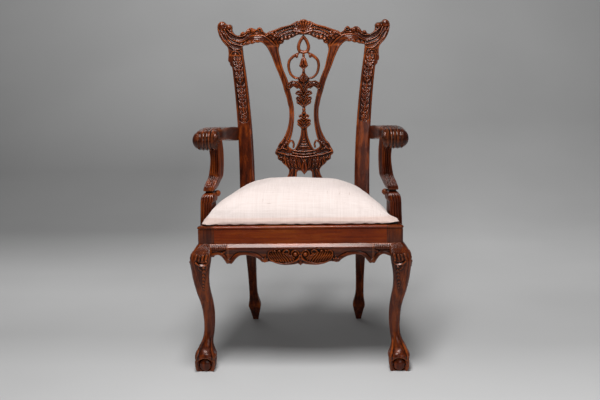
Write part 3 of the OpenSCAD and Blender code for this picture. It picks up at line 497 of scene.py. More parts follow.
def board(rel, place, thick, round_r, back_in):
    """Points and faces of a carved board: place(u, v, depth) gives its points."""
    f, step = rel.f, rel.step
    k = rel.keep
    cells = ((f[:-1, :-1] + f[1:, :-1] + f[:-1, 1:] + f[1:, 1:]) > 0) & (
        k[:-1, :-1] & k[1:, :-1] & k[:-1, 1:] & k[1:, 1:])
    corner = np.zeros(f.shape, int)
    for dj in (0, 1):
        for di in (0, 1):
            corner[dj:dj + cells.shape[0], di:di + cells.shape[1]] += cells
    used, rim = corner > 0, (corner > 0) & (corner < 4)
    gv, gu = np.gradient(f, step)
    size = np.maximum(gu * gu + gv * gv, 0.25)
    near = np.abs(f) < 1.6 * step
    shift = np.where(near, np.clip(f, -1.3 * step, 1.3 * step), 0)
    U = np.where(rim, rel.U - shift * gu / size, rel.U)
    V = np.where(rim, rel.V - shift * gv / size, rel.V)
    d = np.clip(np.where(rim & near, 0, f), 0, round_r)
    drop = round_r - np.sqrt(np.maximum(round_r ** 2 - (round_r - d) ** 2, 0))
    depth = drop - rel.h
    index = np.full(f.shape, -1)
    index[used] = np.arange(used.sum())
    rim_index = np.full(f.shape, -1)
    rim_index[rim] = np.arange(rim.sum())
    n, m = used.sum(), rim.sum()
    front = place(U[used], V[used], depth[used])
    length = np.sqrt(size[rim])
    nu, nv = gu[rim] / length, gv[rim] / length
    side = place(U[rim], V[rim], np.full(m, thick - 3.0))
    rear = place(U[rim] + nu * back_in, V[rim] + nv * back_in, np.full(m, float(thick)))
    quads = np.stack([index[:-1, :-1][cells], index[:-1, 1:][cells], index[1:, 1:][cells],
                      index[1:, :-1][cells]], 1)
    faces = quads.tolist()
    padded = np.pad(cells, 1)
    across = padded[:-1, 1:-1] != padded[1:, 1:-1]
    upright = padded[1:-1, :-1] != padded[1:-1, 1:]
    for edge, dj, di in ((across, 0, 1), (upright, 1, 0)):
        j, i = np.nonzero(edge)
        a, b = (j, i), (j + dj, i + di)
        fa, fb = index[a], index[b]
        ra, rb = rim_index[a], rim_index[b]
        faces += np.stack([fa, fb, n + rb, n + ra], 1).tolist()
        faces += np.stack([n + ra, n + rb, n + m + rb, n + m + ra], 1).tolist()
    for j in range(cells.shape[0]):
        row = np.flatnonzero(np.diff(np.concatenate([[0], cells[j].astype(int), [0]])))
        for i0, i1 in zip(row[::2], row[1::2]):
            low = rim_index[j, i0:i1 + 1]
            high = rim_index[j + 1, i0:i1 + 1][::-1]
            ring = np.concatenate([low[low >= 0], high[high >= 0]]) + n + m
            faces.append(ring.tolist())
    return np.vstack([front, side, rear]), faces


def tube_faces(m, n, caps=True, start=0):
    """Faces of m closed rings with n points each."""
    i, j = np.meshgrid(np.arange(m - 1), np.arange(n), indexing="ij")
    k = (j + 1) % n
    faces = np.stack([i * n + j, i * n + k, (i + 1) * n + k, (i + 1) * n + j], -1).reshape(-1, 4) + start
    faces = faces.tolist()
    if caps:
        faces.append((np.arange(n)[::-1] + start).tolist())
        faces.append((np.arange(n) + (m - 1) * n + start).tolist())
    return faces


def tubes(*shapes):
    """Points and faces of closed tubes, each given as its rings of points."""
    points, faces = [], []
    for rings in shapes:
        faces += tube_faces(*rings.shape[:2], start=sum(len(p) for p in points))
        points.append(rings.reshape(-1, 3))
    return np.vstack(points), faces


def drawn(section, reach, count):
    """Rings of a section (y, z) that runs across the chair from -reach to reach."""
    return np.stack([np.column_stack([np.full(len(section), x), section])
                     for x in np.linspace(-reach, reach, count)])


def lathe(profile, count, y, z):
    """Rings of a profile (x, radius) turned about an axis along X, and the angles round it."""
    phi = np.radians(np.linspace(0, 360, count, endpoint=False))
    rings = np.empty((len(profile), count, 3))
    rings[:, :, 0] = profile[:, 0][:, None]
    rings[:, :, 1] = y + profile[:, 1][:, None] * np.cos(phi)
    rings[:, :, 2] = z + profile[:, 1][:, None] * np.sin(phi)
    return rings, phi


def divided(outline, parts):
    """A closed outline with each of its sides divided into parts."""
    return np.vstack([np.linspace(a, b, parts + 1)[:-1] for a, b in zip(outline, np.roll(outline, -1, 0))])


def push_out(rings, amount):
    """Moves the points of closed rings outwards along the surface by amount."""
    around = np.roll(rings, -1, 1) - np.roll(rings, 1, 1)
    along = np.gradient(rings, axis=0)
    normal = np.cross(around, along)
    normal /= np.maximum(np.linalg.norm(normal, axis=2, keepdims=True), 1e-9)
    centre = rings.mean(1, keepdims=True)
    if ((rings - centre) * normal).sum() < 0:
        normal = -normal
    return rings + normal * amount[..., None]


def even_ring(points, n):
    """n evenly spaced points round a closed outline, from its first point."""
    closed = np.vstack([points, points[:1]])
    length = np.concatenate([[0], np.cumsum(np.hypot(*np.diff(closed, axis=0).T))])
    at = np.linspace(0, length[-1], n, endpoint=False)
    return np.column_stack([np.interp(at, length, closed[:, k]) for k in (0, 1)])


def box_ring(n_front, n_side, n_back, power):
    """Round-cornered unit square as (a, b) in -1..1: front (b = -1), outer side, back, inner side."""
    f = np.linspace(-1, 1, n_front, endpoint=False)
    s = np.linspace(-1, 1, n_side, endpoint=False)
    k = np.linspace(-1, 1, n_back, endpoint=False)
    a = np.concatenate([f, np.ones(n_side), -k, -np.ones(n_side)])
    b = np.concatenate([-np.ones(n_front), s, np.ones(n_back), -s])
    norm = (np.abs(a) ** power + np.abs(b) ** power) ** (1 / power)
    return a / norm, b / norm


# ---------- the back ----------

def share_up(z):
    """Share of the way up the stile."""
    return np.clip((np.asarray(z, float) - SEAT_TOP) / (STILE_TOP - SEAT_TOP), 0, 1)


def stile_out(z):
    """Outer edge of the stile at height z."""
    return HALF_BACK + 29 * share_up(z) ** 2.4


def stile_in(z):
    """Inner edge of the stile at height z."""
    return HALF_BACK - 50 + 36 * share_up(z) ** 2.1


def stile_carving():
    """Paired leaves with drilled eyes, and a rosette; u is measured from the stile's middle."""
    top = STILE_TOP + 1
    r = Relief(-26, 26, CARVED_FROM, top, 0.8)
    edge = np.interp(r.V, [CARVED_FROM, top], [18.5, 16.5])
    r.h -= 1.8 * np.clip((edge - np.abs(r.U)) / 1.2, 0, 1) * np.clip((r.V - 694 - 0.03 * r.U ** 2) / 2, 0, 1)
    for s in (-1, 1):
        r.ridge([(19.2 * s, 690), (18 * s, 800), (17.4 * s, 916)], 1.3, 0.9)
    r.ridge(curve([(0, 698), (-1.5, 730), (1.5, 762), (-1, 795), (0, 822)], 8), 2.2, 2.4)
    r.ridge(curve([(0, 852), (1, 868), (-1, 886), (0, 904)], 8), 2.2, 2.4)
    for k, (v, q) in enumerate(((905, 11), (889, 14), (871, 14), (855, 12), (816, 13), (799, 13), (781, 12),
                                (763, 12), (744, 12), (726, 11), (708, 9))):
        for s in (-1, 1):
            r.leaf([(0.5 * s, v - 12), (0.4 * q * s, v - 6), (0.8 * q * s, v), (q * s, v + 7)], 5.8, 2.4, 2,
                   0.2, 1.0, base=-1.4)
        if k % 2 == 0:
            r.leaf([(0, v - 7), (0, v), (0, v + 8)], 4.5, 3.0, 1, 0.1, 0.8, base=-1.0)
    for u, v in ((6.5, 874), (6, 861), (7.5, 808), (5, 792), (6.5, 753), (5, 720), (8, 890), (4, 735)):
        for s in (-1, 1):
            r.ball(u * s, v, 2.0, -3.4)
    r.ball(0, 838, 14, 1.2, over=-0.8)
    r.ridge(spiral((0, 837), 8, 8, 0, 360, 40), 2.6, 3.4, over=0)
    for u, v in ((-11, 845), (11, 845), (0, 826)):
        r.ball(u, v, 4.6, 3.4, over=0)
    r.ball(0, 837, 3.2, 3.2, over=-1)
    r.soften()
    return r


def rear_post(side, carving):
    """Rear leg and carved stile in one piece."""
    legs = lookup([(386, 25, 25), (376, 25, 25), (306, 29, 19.5), (210, 32, 15.2), (150, 33, 13.6),
                   (110, 33.6, 13.6), (88, 34.8, 15.5), (70, 36, 19.2), (58, 36, 21), (50, 36.4, 20),
                   (30, 37, 15.2), (0, 37, 9)])
    depth = lookup([(0, 9), (30, 14.5), (50, 17.6), (58, 18.4), (70, 16.8), (88, 14.2), (124, 13.5),
                    (170, 14), (230, 15), (300, 16.5), (386, 16)])
    z = np.concatenate([np.linspace(0, 384, 130), np.linspace(387, 683, 66),
                        np.arange(CARVED_FROM, 915.5, 0.85)])
    z[-1] = STILE_TOP
    mid, half = legs(np.minimum(z, LEG_TOP)).T
    low = z < LEG_TOP
    outer = np.where(low, HALF_BACK - mid + half, stile_out(z))
    inner = np.where(low, HALF_BACK - mid - half, stile_in(z))
    # the outer edge curls out under the crest's ear
    hook_z, hook_out = zip(*[(878, 0), (880, 1.5), (883, 4), (888, 6.6), (891, 6.2), (893, 5), (896, 9),
                             (901, 10.4), (906, 9.6), (915, 7)])
    hook = np.interp(z, hook_z, hook_out)
    outer = outer + hook
    thick = np.where(low, depth(np.minimum(z, LEG_TOP))[:, 0], 16)
    centre = np.where(low, SEAT_D + 16 + 82 * (np.clip(LEG_TOP - z, 0, 400) / LEG_TOP) ** 2, SEAT_D + 16)
    centre = np.where(z > SEAT_TOP, back_y(z) + 16, centre)
    a, b = box_ring(56, 14, 18, 9)
    x = ((outer + inner) / 2)[:, None] + ((outer - inner) / 2)[:, None] * a
    y = centre[:, None] + thick[:, None] * b
    middle = ((outer + inner) / 2 - hook / 2)[:, None]
    lift = carving.at(x - middle, np.repeat(z[:, None], len(a), 1)) * (b < -0.8) * (z[:, None] > CARVED_FROM)
    y = y - lift
    rings = np.stack([x, y, np.repeat(z[:, None], len(a), 1)], 2)
    name = side_name(side)
    finish_piece(f"rear_{name}_post_carved", *tubes(rings), WOOD["z"], f"rear_{name}_post", mirror=side < 0)


CREST_TOP = [(0, 1035), (8, 1034), (13, 1030), (24, 1028), (36, 1022), (45, 1018), (55, 1015), (75, 1010),
             (96, 1002), (112, 997)]
CREST_SIDE = [(118, 995), (125, 990), (132, 993), (137, 999), (141, 1006), (147, 1010), (153, 1009),
              (158, 1004), (164, 1004), (172, 1008), (180, 1009), (188, 1005), (193, 999), (198, 993),
              (204, 996), (210, 994), (215, 986), (222, 983), (229, 986), (236, 992), (241, 1001),
              (241, 1012), (246, 1020), (255, 1021), (262, 1023), (268, 1029), (277, 1031), (286, 1026),
              (291, 1015), (290, 1000), (284, 981), (274, 964), (264, 953), (256, 944), (253, 930),
              (253, 915)]
CREST_LOW = [(203, 915), (205, 935), (206, 946), (198, 950), (188, 951), (180, 955), (172, 954), (163, 959),
             (154, 958), (144, 960), (135, 955), (128, 948)]
CREST_ARCH = [(80.5, 948), (80, 951), (76, 953), (71, 954), (67, 960), (65, 966), (58, 966), (52, 966),
              (47, 969), (42, 972), (35, 974), (30, 977), (22, 981), (12, 984)]


def strap_height(s):
    """Section of the splat's straps: edge bead, broad flat hollow, inner bead; s is the share across."""
    bead = lambda at, r: np.clip(1 - ((s - at) / r) ** 2, 0, 1) ** 0.5
    return 1.2 + 2.4 * bead(0.1, 0.11) + 1.5 * bead(0.47, 0.3) + 2.6 * bead(0.88, 0.12)


def crest_carving():
    """The crest rail's right half; u is measured from the chair's middle."""
    step = 0.825
    r = Relief(-3, 296, 915 - 3 * step, 1040, step)
    half = np.vstack([curve(CREST_TOP, 4), curve(CREST_SIDE, 4), [(252, 905), (202, 905)],
                      curve(CREST_LOW, 4), [(121, 939), (107, 911), (78, 905), (83, 933)],
                      curve(CREST_ARCH, 4)])
    r.area(np.vstack([[(-6, 1035)], half, [(-6, 984)]]))
    r.keep = (r.V > 947.9) | ((r.U > 190) & (r.V > 914.9))
    r.h -= 1.2
    # long veins that sweep from the ear down and inwards
    r.ridge(curve([(289, 1012), (286, 1000), (280, 984), (270, 966), (259, 951), (253, 936), (252, 912)]),
            2.8, 2.4)
    r.ridge(curve([(279, 996), (277, 988), (268, 971), (253, 955), (244, 945), (231, 938), (217, 937),
                   (206, 943)]), 3.6, 3.6, 2.2)
    r.ridge(curve([(277, 1006), (273, 995), (265, 986), (256, 971), (244, 960), (227, 954), (210, 950),
                   (195, 953), (181, 957)]), 3.8, 4.4, 2.4)
    r.ridge(curve([(270, 1010), (265, 1002), (258, 987), (244, 973), (229, 966), (210, 962), (198, 966),
                   (186, 973)]), 3.6, 4.2, 1.6)
    r.ridge(curve([(263, 1012), (257, 1005), (250, 997), (241, 991), (227, 983), (212, 980), (198, 984),
                   (190, 992)]), 3.6, 5.4, 2.4)
    r.groove(curve([(262, 1000), (252, 985), (236, 974), (216, 971), (200, 975)]), 2.4, 1.6, 1.4)
    r.groove(curve([(270, 994), (262, 977), (249, 964), (234, 958), (214, 955)]), 1.8, 1.4, 1.0)
    # rounded ear and the knob inside it
    r.ball(277, 1019, 13, 5.8, 14, over=0.4)
    r.groove(curve([(266, 1010), (274, 1005), (284, 1005), (291, 1009)]), 1.6, 2.2)
    r.groove(curve([(272, 1029), (269, 1021), (266, 1012)]), 1.2, 1.6)
    r.ball(252, 1013, 9, 7.5, over=0.4)
    # arch and leaves over the top of the stile
    r.ridge(curve([(246, 914), (242, 927), (231, 932), (220, 928), (212, 915)]), 2.6, 3.4, 2.0)
    r.leaf([(229, 912), (229, 919), (229, 928)], 6, 3.0, 2, base=0)
    r.ridge(curve([(207, 914), (208, 927), (213, 935)]), 2.0, 2.2, 1.2)
    # lobes along the top, ending in a scroll with a leafy tail
    for u, v, q, tall in ((206, 991, 6, 3.6), (195, 995, 5, 3.2), (186, 998, 8.5, 5.4), (170, 999, 8, 4.6)):
        r.ball(u, v, q, tall, over=-0.4)
    for pts in ([(196, 986), (192, 996), (196, 1004)], [(178, 984), (178, 996), (181, 1006)],
                [(186, 984), (186, 994), (188, 1002)], [(170, 984), (168, 994), (168, 1002)]):
        r.groove(curve(pts), 1.1, 1.6)
    r.ball(157, 996, 4.2, -3.0)
    r.ridge(spiral((148, 1000), 7.5, 3.5, 215, -60, 30), 2.6, 5.0, 2.2, over=0.2)
    r.ridge(curve([(152, 1008), (144, 1006), (138, 997), (130, 992), (119, 991)]), 3.2, 4.4, 1.6, over=0)
    # broad strap that runs down into the splat
    outer = curve([(192, 950), (180, 955), (165, 958), (150, 960), (140, 958), (134, 953), (128, 948),
                   (121, 939)], 8)
    inner = curve([(196, 972), (182, 982), (166, 986), (150, 986), (133, 984), (113, 971), (99, 957),
                   (88, 943), (83, 933)], 8)
    far = [r.distance(edge, 40) for edge in (outer, inner)]
    band = r.inside(np.vstack([outer, inner[::-1]]))
    fade = np.clip((192 - r.U) / 26, 0, 1)
    r.h = np.where(band, (1 - fade) * r.h + fade * strap_height(far[0] / (far[0] + far[1])), r.h)
    r.groove(curve([(176, 986), (150, 987.5), (132, 985.5), (112, 972), (98, 958), (87, 943)]), 1.5, 2.2)
    # lobes that curl over its lower edge
    for u, v, q in ((200, 954, 5.4), (186, 958, 6), (170, 961, 6), (155, 964, 5)):
        r.ball(u, v, q, 4.2, over=0.8)
        r.ridge(spiral((u, v), q * 0.9, 1.4, 250, 520, 24), 1.1, 1.4, 0.6)
    r.groove(curve([(208, 958), (193, 966), (178, 970), (164, 972), (150, 972)]), 1.3, 1.5, 0.8)
    # leaf in the fork
    r.leaf([(128, 981), (116, 990), (106, 990), (96, 981), (88, 971)], 7.5, 4.6, 4, 0.3, base=0.8)
    r.leaf([(104, 968), (98, 976), (92, 988), (94, 998)], 6, 3.6, 3, 0.3, base=0.2)
    # gadrooned top edge and the ridge inside it
    rope = curve([(112, 990), (99, 995), (84, 1001), (67, 1007), (50, 1012), (38, 1017)], 12)
    for k in range(0, len(rope), 4):
        r.ball(*rope[k], 3.4, 4.2, 2.3, 55, over=-0.6)
    r.ridge(curve([(89, 977), (83, 988), (72, 994.5), (60, 999), (48, 1003), (34, 1006), (22, 1010)]), 3.0,
            4.4, 2.0)
    for k in range(9):
        u = 30 + 7.2 * k
        r.groove([(u, 1014.5 - 0.27 * (u - 30)), (u - 4, 1006.5 - 0.24 * (u - 30))], 1.0, 1.3)
    # lobes of the inner arch, and the hollow over them
    r.leaf([(88, 966), (80, 979), (66, 987), (48, 992), (30, 997)], 4.5, 3.0, 7, 0.35, base=-1.0)
    for u, v, q in ((78, 958, 7), (72, 969, 5.5), (60, 975, 6.4), (47, 977, 6), (35, 982, 5.6), (22, 987, 5)):
        r.ball(u, v, q, 5.0, over=0.6)
        r.ridge(spiral((u, v), q * 0.85, 1.4, 20, 300, 24), 1.2, 1.4, 0.7)
    # shell in the middle with a knob on top
    r.fan(0, 993, 6, 38, 12, 168, 9, 5.4, 0.18, base=0.0)
    r.leaf([(10, 996), (20, 1004), (27, 1014), (30, 1024)], 5.5, 4.6, 3, 0.3, base=0.6)
    r.ball(0, 1029, 7, 6.4, 5.5, over=1.4)
    # the face sinks to the splat's where the straps and the loop leave it
    sink = 6.5 * np.clip((978 - r.V) / 30, 0, 1)
    r.h -= sink * np.clip((150 - r.U) / 16, 0, 1) * np.clip((r.U - 76) / 4, 0, 1)
    r.soften()
    return r


def full_width(rel, reach):
    """A relief drawn for u >= 0 as a whole, mirrored about u = 0."""
    full = Relief(-reach, reach, rel.v[0], rel.v[-1], rel.step)
    full.h = rel.at(np.abs(full.U), full.V)
    full.f = rel.sample(rel.f, np.abs(full.U), full.V)
    full.keep = rel.sample(rel.keep.astype(float), np.abs(full.U), full.V) > 0.5
    return full


def back_place(setback):
    """place(u, v, depth) on the back's curved face, set back by setback mm."""
    return lambda u, v, depth: np.column_stack([u, back_y(v) + setback + depth, v])


def crest_rail():
    """Carved crest rail with the crossing of the splat's loop."""
    whole = full_width(crest_carving(), 296)
    # the loop's two ends cross over each other in front of the arch
    whole.ridge(curve([(30, 997), (15, 993), (5, 990), (-6, 982), (-13, 972)]), 4.2, 4.4, over=0.4)
    whole.ridge(curve([(-32, 997), (-16, 994), (-6, 991), (5, 980), (13, 970)]), 4.6, 5.2, over=1.6)
    points, faces = board(whole, back_place(0), 28, 4.5, 2.0)
    finish_piece("crest_rail_carved", points, faces, WOOD["x"], "crest_rail")


STRAP_OUTER = [(128, 948), (121, 939), (107, 911), (96, 882), (84, 854), (73, 825), (66, 800), (58, 775),
               (53, 752), (50, 740), (49, 717), (51, 695), (57, 670), (67, 647), (76, 633), (86, 621)]
STRAP_INNER = [(80.5, 948), (84, 933), (78, 905), (71, 876), (61, 851), (54, 833), (46, 799), (39, 770),
               (34, 743), (33, 713), (35, 684), (39, 660), (44, 641), (50, 630)]
BASE = [(38, 604), (42, 606), (50, 612), (54, 620), (50, 628), (58, 636), (76, 632), (85, 622), (90, 611),
        (97, 599), (97, 590), (90, 583), (89, 573), (84, 569), (76, 565), (70, 556), (59, 548), (52, 537),
        (53, 524), (60, 510), (70, 494), (77, 470)]


def splat_carving():
    """The splat's right half; u is measured from the chair's middle."""
    step = 478 / 568
    r = Relief(-3, 134, 470 - 2 * step, 986, step)
    outer, inner = curve(STRAP_OUTER, 5), curve(STRAP_INNER, 5)
    # silhouette
    r.area(np.vstack([[(134, 957)], outer, inner[::-1], [(82, 957)]]))
    r.area(np.vstack([[(-6, 604)], curve(BASE, 4), [(79, 462), (-6, 462)]]))
    loop = curve([(-6, 982), (7, 968), (14.5, 953), (17, 940), (12.5, 929), (0, 924.5), (-8, 926.5)], 6)
    r.limb(loop, 5.5)
    ring = curve([(23, 917.5), (34, 911.5), (46, 900), (50.5, 886), (49.5, 870), (44, 854), (32, 842),
                  (20, 839)], 6)
    r.limb(ring, 5.4, 4.0)
    r.limb(curve([(23, 910), (20, 919), (15, 924)], 4), 4.6, 3.0)
    column = [(-6, 921), (3, 921), (4.5, 914), (4, 908), (8, 903), (11, 893), (15.5, 879), (9, 874),
              (4, 869), (4.5, 861), (6, 854), (9, 850), (13, 846), (17, 838), (20, 830), (27, 829.5),
              (40, 832), (54, 823.5), (59, 812), (56, 804.5), (50, 801.5), (45, 803.5), (40, 808),
              (34, 812), (28, 808), (22.5, 803.6), (18, 806), (14, 804), (11, 799), (14, 798.5),
              (20, 798.5), (25, 796), (29.5, 788.5), (25, 784.5), (20, 783), (14.5, 778), (12.5, 774.5),
              (16, 777.5), (21, 779.5), (26, 777), (27, 770.5), (24, 766), (25, 760.5), (23.5, 755.5),
              (17, 752), (10, 747.5), (5, 744), (4.8, 740), (6, 735), (4.8, 730), (7, 727), (7, 722),
              (12.3, 719.5), (19, 715), (16.5, 710), (12, 706.5), (10, 703.5), (14, 705), (21, 703),
              (23.5, 697), (21, 692), (23.5, 686.5), (18, 681), (12, 676.5), (9.6, 672), (10.4, 664),
              (12, 651), (15.5, 639), (20, 628), (25, 616), (31, 606), (38, 602), (-6, 602)]
    r.area(column)
    r.limb(curve([(36, 612), (35, 622), (40, 632), (49, 629), (55, 618), (56, 608)], 5), 3.4, 3.2)
    r.hole([(-26, 510), (-25, 528), (-20, 534), (-11, 533), (0, 521), (11, 533), (20, 534), (25, 528),
            (26, 510), (24, 462), (-24, 462)])
    r.keep = (r.V > 469.9) & ((r.V < 948.1) | (r.U < 60))
    # straps
    far = [r.distance(np.vstack([[edge[0] + (3, 8)], edge]), 60) for edge in (outer, inner)]
    band = r.inside(np.vstack([[(134, 957)], outer, inner[::-1], [(82, 957)]])) & (r.V > 624)
    s = far[0] / np.maximum(far[0] + far[1], 6)
    r.h = np.where(band, strap_height(s), r.h)
    # loop and C-scrolls
    r.ridge(loop, 5.5, 4.4)
    r.ridge(ring, 5.2, 4.2, 3.8)
    r.groove(curve([(30, 912), (42, 901), (47, 886), (46, 871), (40, 856), (30, 846)]), 1.3, 1.6, 1.0)
    r.ball(22.5, 914, 7, 5.0, 7.5, 30, over=1.2)
    for a, b in (((17, 906), (24, 912)), ((19, 902), (28, 909))):
        r.groove([a, b], 0.9, 1.6)
    r.leaf([(34, 846), (26, 852), (20, 848), (18, 839)], 5.5, 4.0, 2, base=0.8)
    # husk, beads and neck
    r.ball(0, 915.5, 4.6, 5.0, over=0.8)
    r.ball(0, 900, 9, 3.4, 17, over=0.4)
    for k in (-1, 0, 1):
        r.leaf([(k * 2.5, 909), (k * 6, 897), (k * 9.5, 886), (k * 12.5, 876)], 5.6, 5.2, 1, 0.1, 1.2,
               base=1.0, blunt=1.3)
    r.groove([(0, 893), (0, 872)], 0.9, 1.6)
    r.ball(0, 862, 4.6, 4.6, 5.4, over=0.6)
    # crown of three leaves over the plume
    r.leaf([(5, 828), (9, 838), (14, 848)], 6, 4.6, 1, 0.1, 1.2, base=0.6)
    r.leaf([(0, 824), (0, 838), (1, 856)], 7, 5.6, 1, 0.1, 1.4, base=0.8)
    r.leaf([(0, 800), (0, 812), (0, 828)], 8, 4.0, 2, 0.1, 1.2, base=0.4)
    # plume: two big leaves that curl over and end in a scroll
    body = curve([(2, 799), (12, 812), (26, 820), (40, 820), (50, 812)], 6)
    r.ridge(body, 8.5, 3.6, 7.0, over=0.6)
    for pts in ([(8, 808), (14, 806), (19, 803)], [(16, 816), (24, 811), (29, 806)],
                [(28, 822), (35, 816), (39, 809)], [(40, 824), (44, 815), (46, 806)]):
        r.groove(curve(pts), 1.3, 2.4, 0.8)
    r.ridge(curve([(0, 795), (5, 808), (13, 820), (24, 827), (40, 829), (52, 821), (56, 811), (51, 805),
                   (46, 809), (48, 814), (51, 812)]), 2.7, 6.0, 2.0, over=1.0)
    # chevron leaves, each with its raised upper edge, its vein and its lower line
    chevrons = (([(0, 780), (6, 791), (14, 796.5), (22, 796), (28.5, 789.5)],
                 [(0, 776), (8, 786), (17, 791), (24, 790)],
                 [(1, 769), (9, 778), (18, 785), (26, 787)]),
                ([(0, 752), (5, 765), (12, 775), (20, 778), (25.5, 774)],
                 [(0, 749), (8, 762), (16, 770), (24, 771)],
                 [(3, 747), (11, 753), (18, 759), (23.5, 758)]),
                ([(0, 709), (5, 715), (11, 718), (18, 714.5)],
                 [(0, 705), (7, 711), (14, 713)],
                 [(1, 703), (8, 707), (14, 709)]),
                ([(0, 689), (5, 696), (12, 702), (20.5, 701.5)],
                 [(0, 682), (8, 690), (16, 696), (21, 696)],
                 [(2, 675), (10, 680), (17, 687), (22, 687)]))
    for top, vein, low in chevrons:
        r.ridge(curve(low), 2.4, 3.4, 1.4, over=0.8)
        r.ridge(curve(vein), 3.4, 2.6, 2.2, over=0.6)
        r.groove(curve(vein), 1.3, 2.2, 0.8)
        r.ridge(curve(top), 2.3, 5.2, 1.5, over=1.2)
    r.ball(0, 735.5, 6, 5.0, over=0.8)
    r.ball(0, 725, 4.4, 4.4, over=0.8)
    # vase with a raised rim and stepped ridges
    r.ridge(curve([(6.5, 676), (7.5, 664), (9.2, 651), (13, 638), (17.5, 627), (23, 615), (28, 607)]), 2.3,
            3.4, 2.6)
    for v, reach in ((637, 3), (629, 5), (621, 10), (613, 14)):
        r.ridge([(-1, v), (reach, v - 0.3)], 2.6, 3.6, 1.6)
    # curved mouldings under the vase
    for v, reach, q, tall in ((597.5, 37, 3.0, 4.2), (588.5, 40, 2.4, 3.4)):
        r.ridge(curve([(-2, v), (reach * 0.5, v + 1.4), (reach, v + 5)]), q, tall, over=0.6)
    r.ridge(curve([(-2, 579.5), (18, 581), (36, 584.5), (55, 587), (70, 591), (84, 595), (95, 599)]), 3.8,
            5.0, 2.8, over=0.6)
    # hooks and scrolls of the base
    r.ridge(curve([(36, 611), (35, 622), (40, 631), (49, 629), (55, 618), (56, 609)]), 3.0, 4.6, 2.4,
            over=0.6)
    r.leaf([(50, 634), (60, 626), (70, 616), (79, 607), (86, 600)], 6.5, 4.6, 5, base=0.8)
    r.leaf([(66, 642), (76, 632), (84, 622), (88, 612)], 5.5, 4.4, 4, base=0.8)
    r.ridge(curve([(58, 604), (68, 609), (78, 608), (88, 604), (95, 597)]), 2.8, 4.4, 2.0, over=0.8)
    r.ball(90, 606, 4.6, 4.6, over=1.2)
    r.ridge(curve([(86, 584), (84, 577), (78, 579), (70, 576), (67, 569), (72, 562), (79, 564), (80, 571),
                   (75, 574)]), 2.6, 5.2, 1.6, over=0.6)
    r.ridge(curve([(66, 580), (62, 568), (62, 556), (56, 546), (50, 536)]), 2.8, 4.0, 2.0, over=0.4)
    r.leaf([(58, 578), (54, 566), (52, 554), (46, 542)], 5.5, 4.0, 4, base=0.4)
    # hanging leaves over the opening
    r.leaf([(0, 577), (0, 556), (0, 538), (0, 520)], 11, 5.0, 1, 0.05, 1.8, base=0.4, blunt=1.3)
    r.ridge(curve([(-1, 557), (5, 567), (9, 576)]), 1.5, 2.2, 1.2)
    r.leaf([(16, 581), (19, 566), (17, 552), (13, 541)], 7, 4.6, 2, 0.15, 1.6, base=0.2, blunt=1.2)
    r.leaf([(31, 583), (33, 568), (31, 553), (26, 542)], 7, 4.6, 3, 0.2, 1.6, base=0.2, blunt=1.2)
    r.leaf([(46, 585), (45, 571), (42, 557), (38, 545)], 6, 4.2, 3, 0.2, 1.4, base=0.2, blunt=1.2)
    for u in (9, 25, 39):
        r.ball(u, 576, 2.6, 2.6, 4, over=0.4)
    # feet
    r.leaf([(40, 540), (45, 520), (52, 500), (66, 472)], 8, 4.4, 3, 0.2, 1.4, base=0.4)
    r.ridge(curve([(28, 536), (30, 512), (30, 490), (31, 470)]), 2.6, 3.0)
    r.soften()
    return r


def splat():
    """Pierced and carved splat."""
    whole = full_width(splat_carving(), 134)
    # the loop's two ends cross over each other under the crest
    whole.ridge(curve([(15, 954), (9, 966), (0, 977), (-8, 986)]), 4.6, 5.4, over=0.6)
    points, faces = board(whole, back_place(6.5), 15, 3.4, 1.4)
    finish_piece("splat_carved", points, faces, WOOD["z"], "splat")


def splat_shoe():
    """Moulded shoe that the splat stands in."""
    low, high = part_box("splat_shoe")
    front, rear = low.y * 1000 + FRONT_Y, high.y * 1000 + FRONT_Y
    base, top = low.z * 1000, high.z * 1000
    profile = curve([(front, base), (front, base + 7), (front + 2.5, base + 9), (front + 3, base + 14),
                     (front + 7, base + 22), (front + 11, top - 5), (front + 12, top - 4)], 4)
    nose = [(front + 10, top - 3.4), (front + 9.4, top - 1.8), (front + 10.4, top - 0.3), (front + 12, top)]
    ring = np.vstack([profile, nose, [(rear - 2, top), (rear, top - 3), (rear, base)]])
    finish_piece("splat_shoe_moulded", *tubes(drawn(ring, high.x * 1000, 12)), WOOD["x"], "splat_shoe")


# ---------- seat rails ----------

RAIL_T = 30             # thickness of the rails
POST_D = 47             # depth of the front posts
POST_INNER = 253        # from the chair's middle to a front post
APRON_T = 18            # thickness of the aprons and brackets

# the rails' bead and lip: distance in from the face, and height
BEAD = [(0, 427.4), (1.6, 428.0), (1.8, 429.4), (-1.0, 430.0), (-1.8, 431.4), (-1.9, 433.4), (-1.3, 435.2),
        (0.2, 436.6), (2.2, 437.5), (4.4, LIP_TOP)]


def rail_section(thick):
    """Section of a rail: distance in from its face, and height."""
    rebate = [(9.4, LIP_TOP), (10, LIP_TOP - 0.6), (10, LEDGE_Z), (thick, LEDGE_Z), (thick, RAIL_LOW)]
    return np.array([(0.6, RAIL_LOW), (0, RAIL_LOW + 0.6)] + BEAD + rebate)


def front_rail():
    """Front seat rail with its bead and rebate."""
    finish_piece("front_seat_rail_moulded", *tubes(drawn(rail_section(RAIL_T), POST_INNER, 40)),
                 WOOD["x_plain"], "front_seat_rail", sharp=30)


def along_side(side, start):
    """place(s, v, depth) for a piece that runs back along a side rail from depth start."""
    ahead = np.array([-TAPER, 1.0]) / SIDE_K
    out = np.array([1.0, TAPER]) / SIDE_K
    base = np.array([side_x(start), start])

    def place(s, v, depth):
        flat = base + np.outer(s, ahead) - np.outer(depth, out)
        return np.column_stack([flat[:, 0] * side, flat[:, 1], v])
    return place


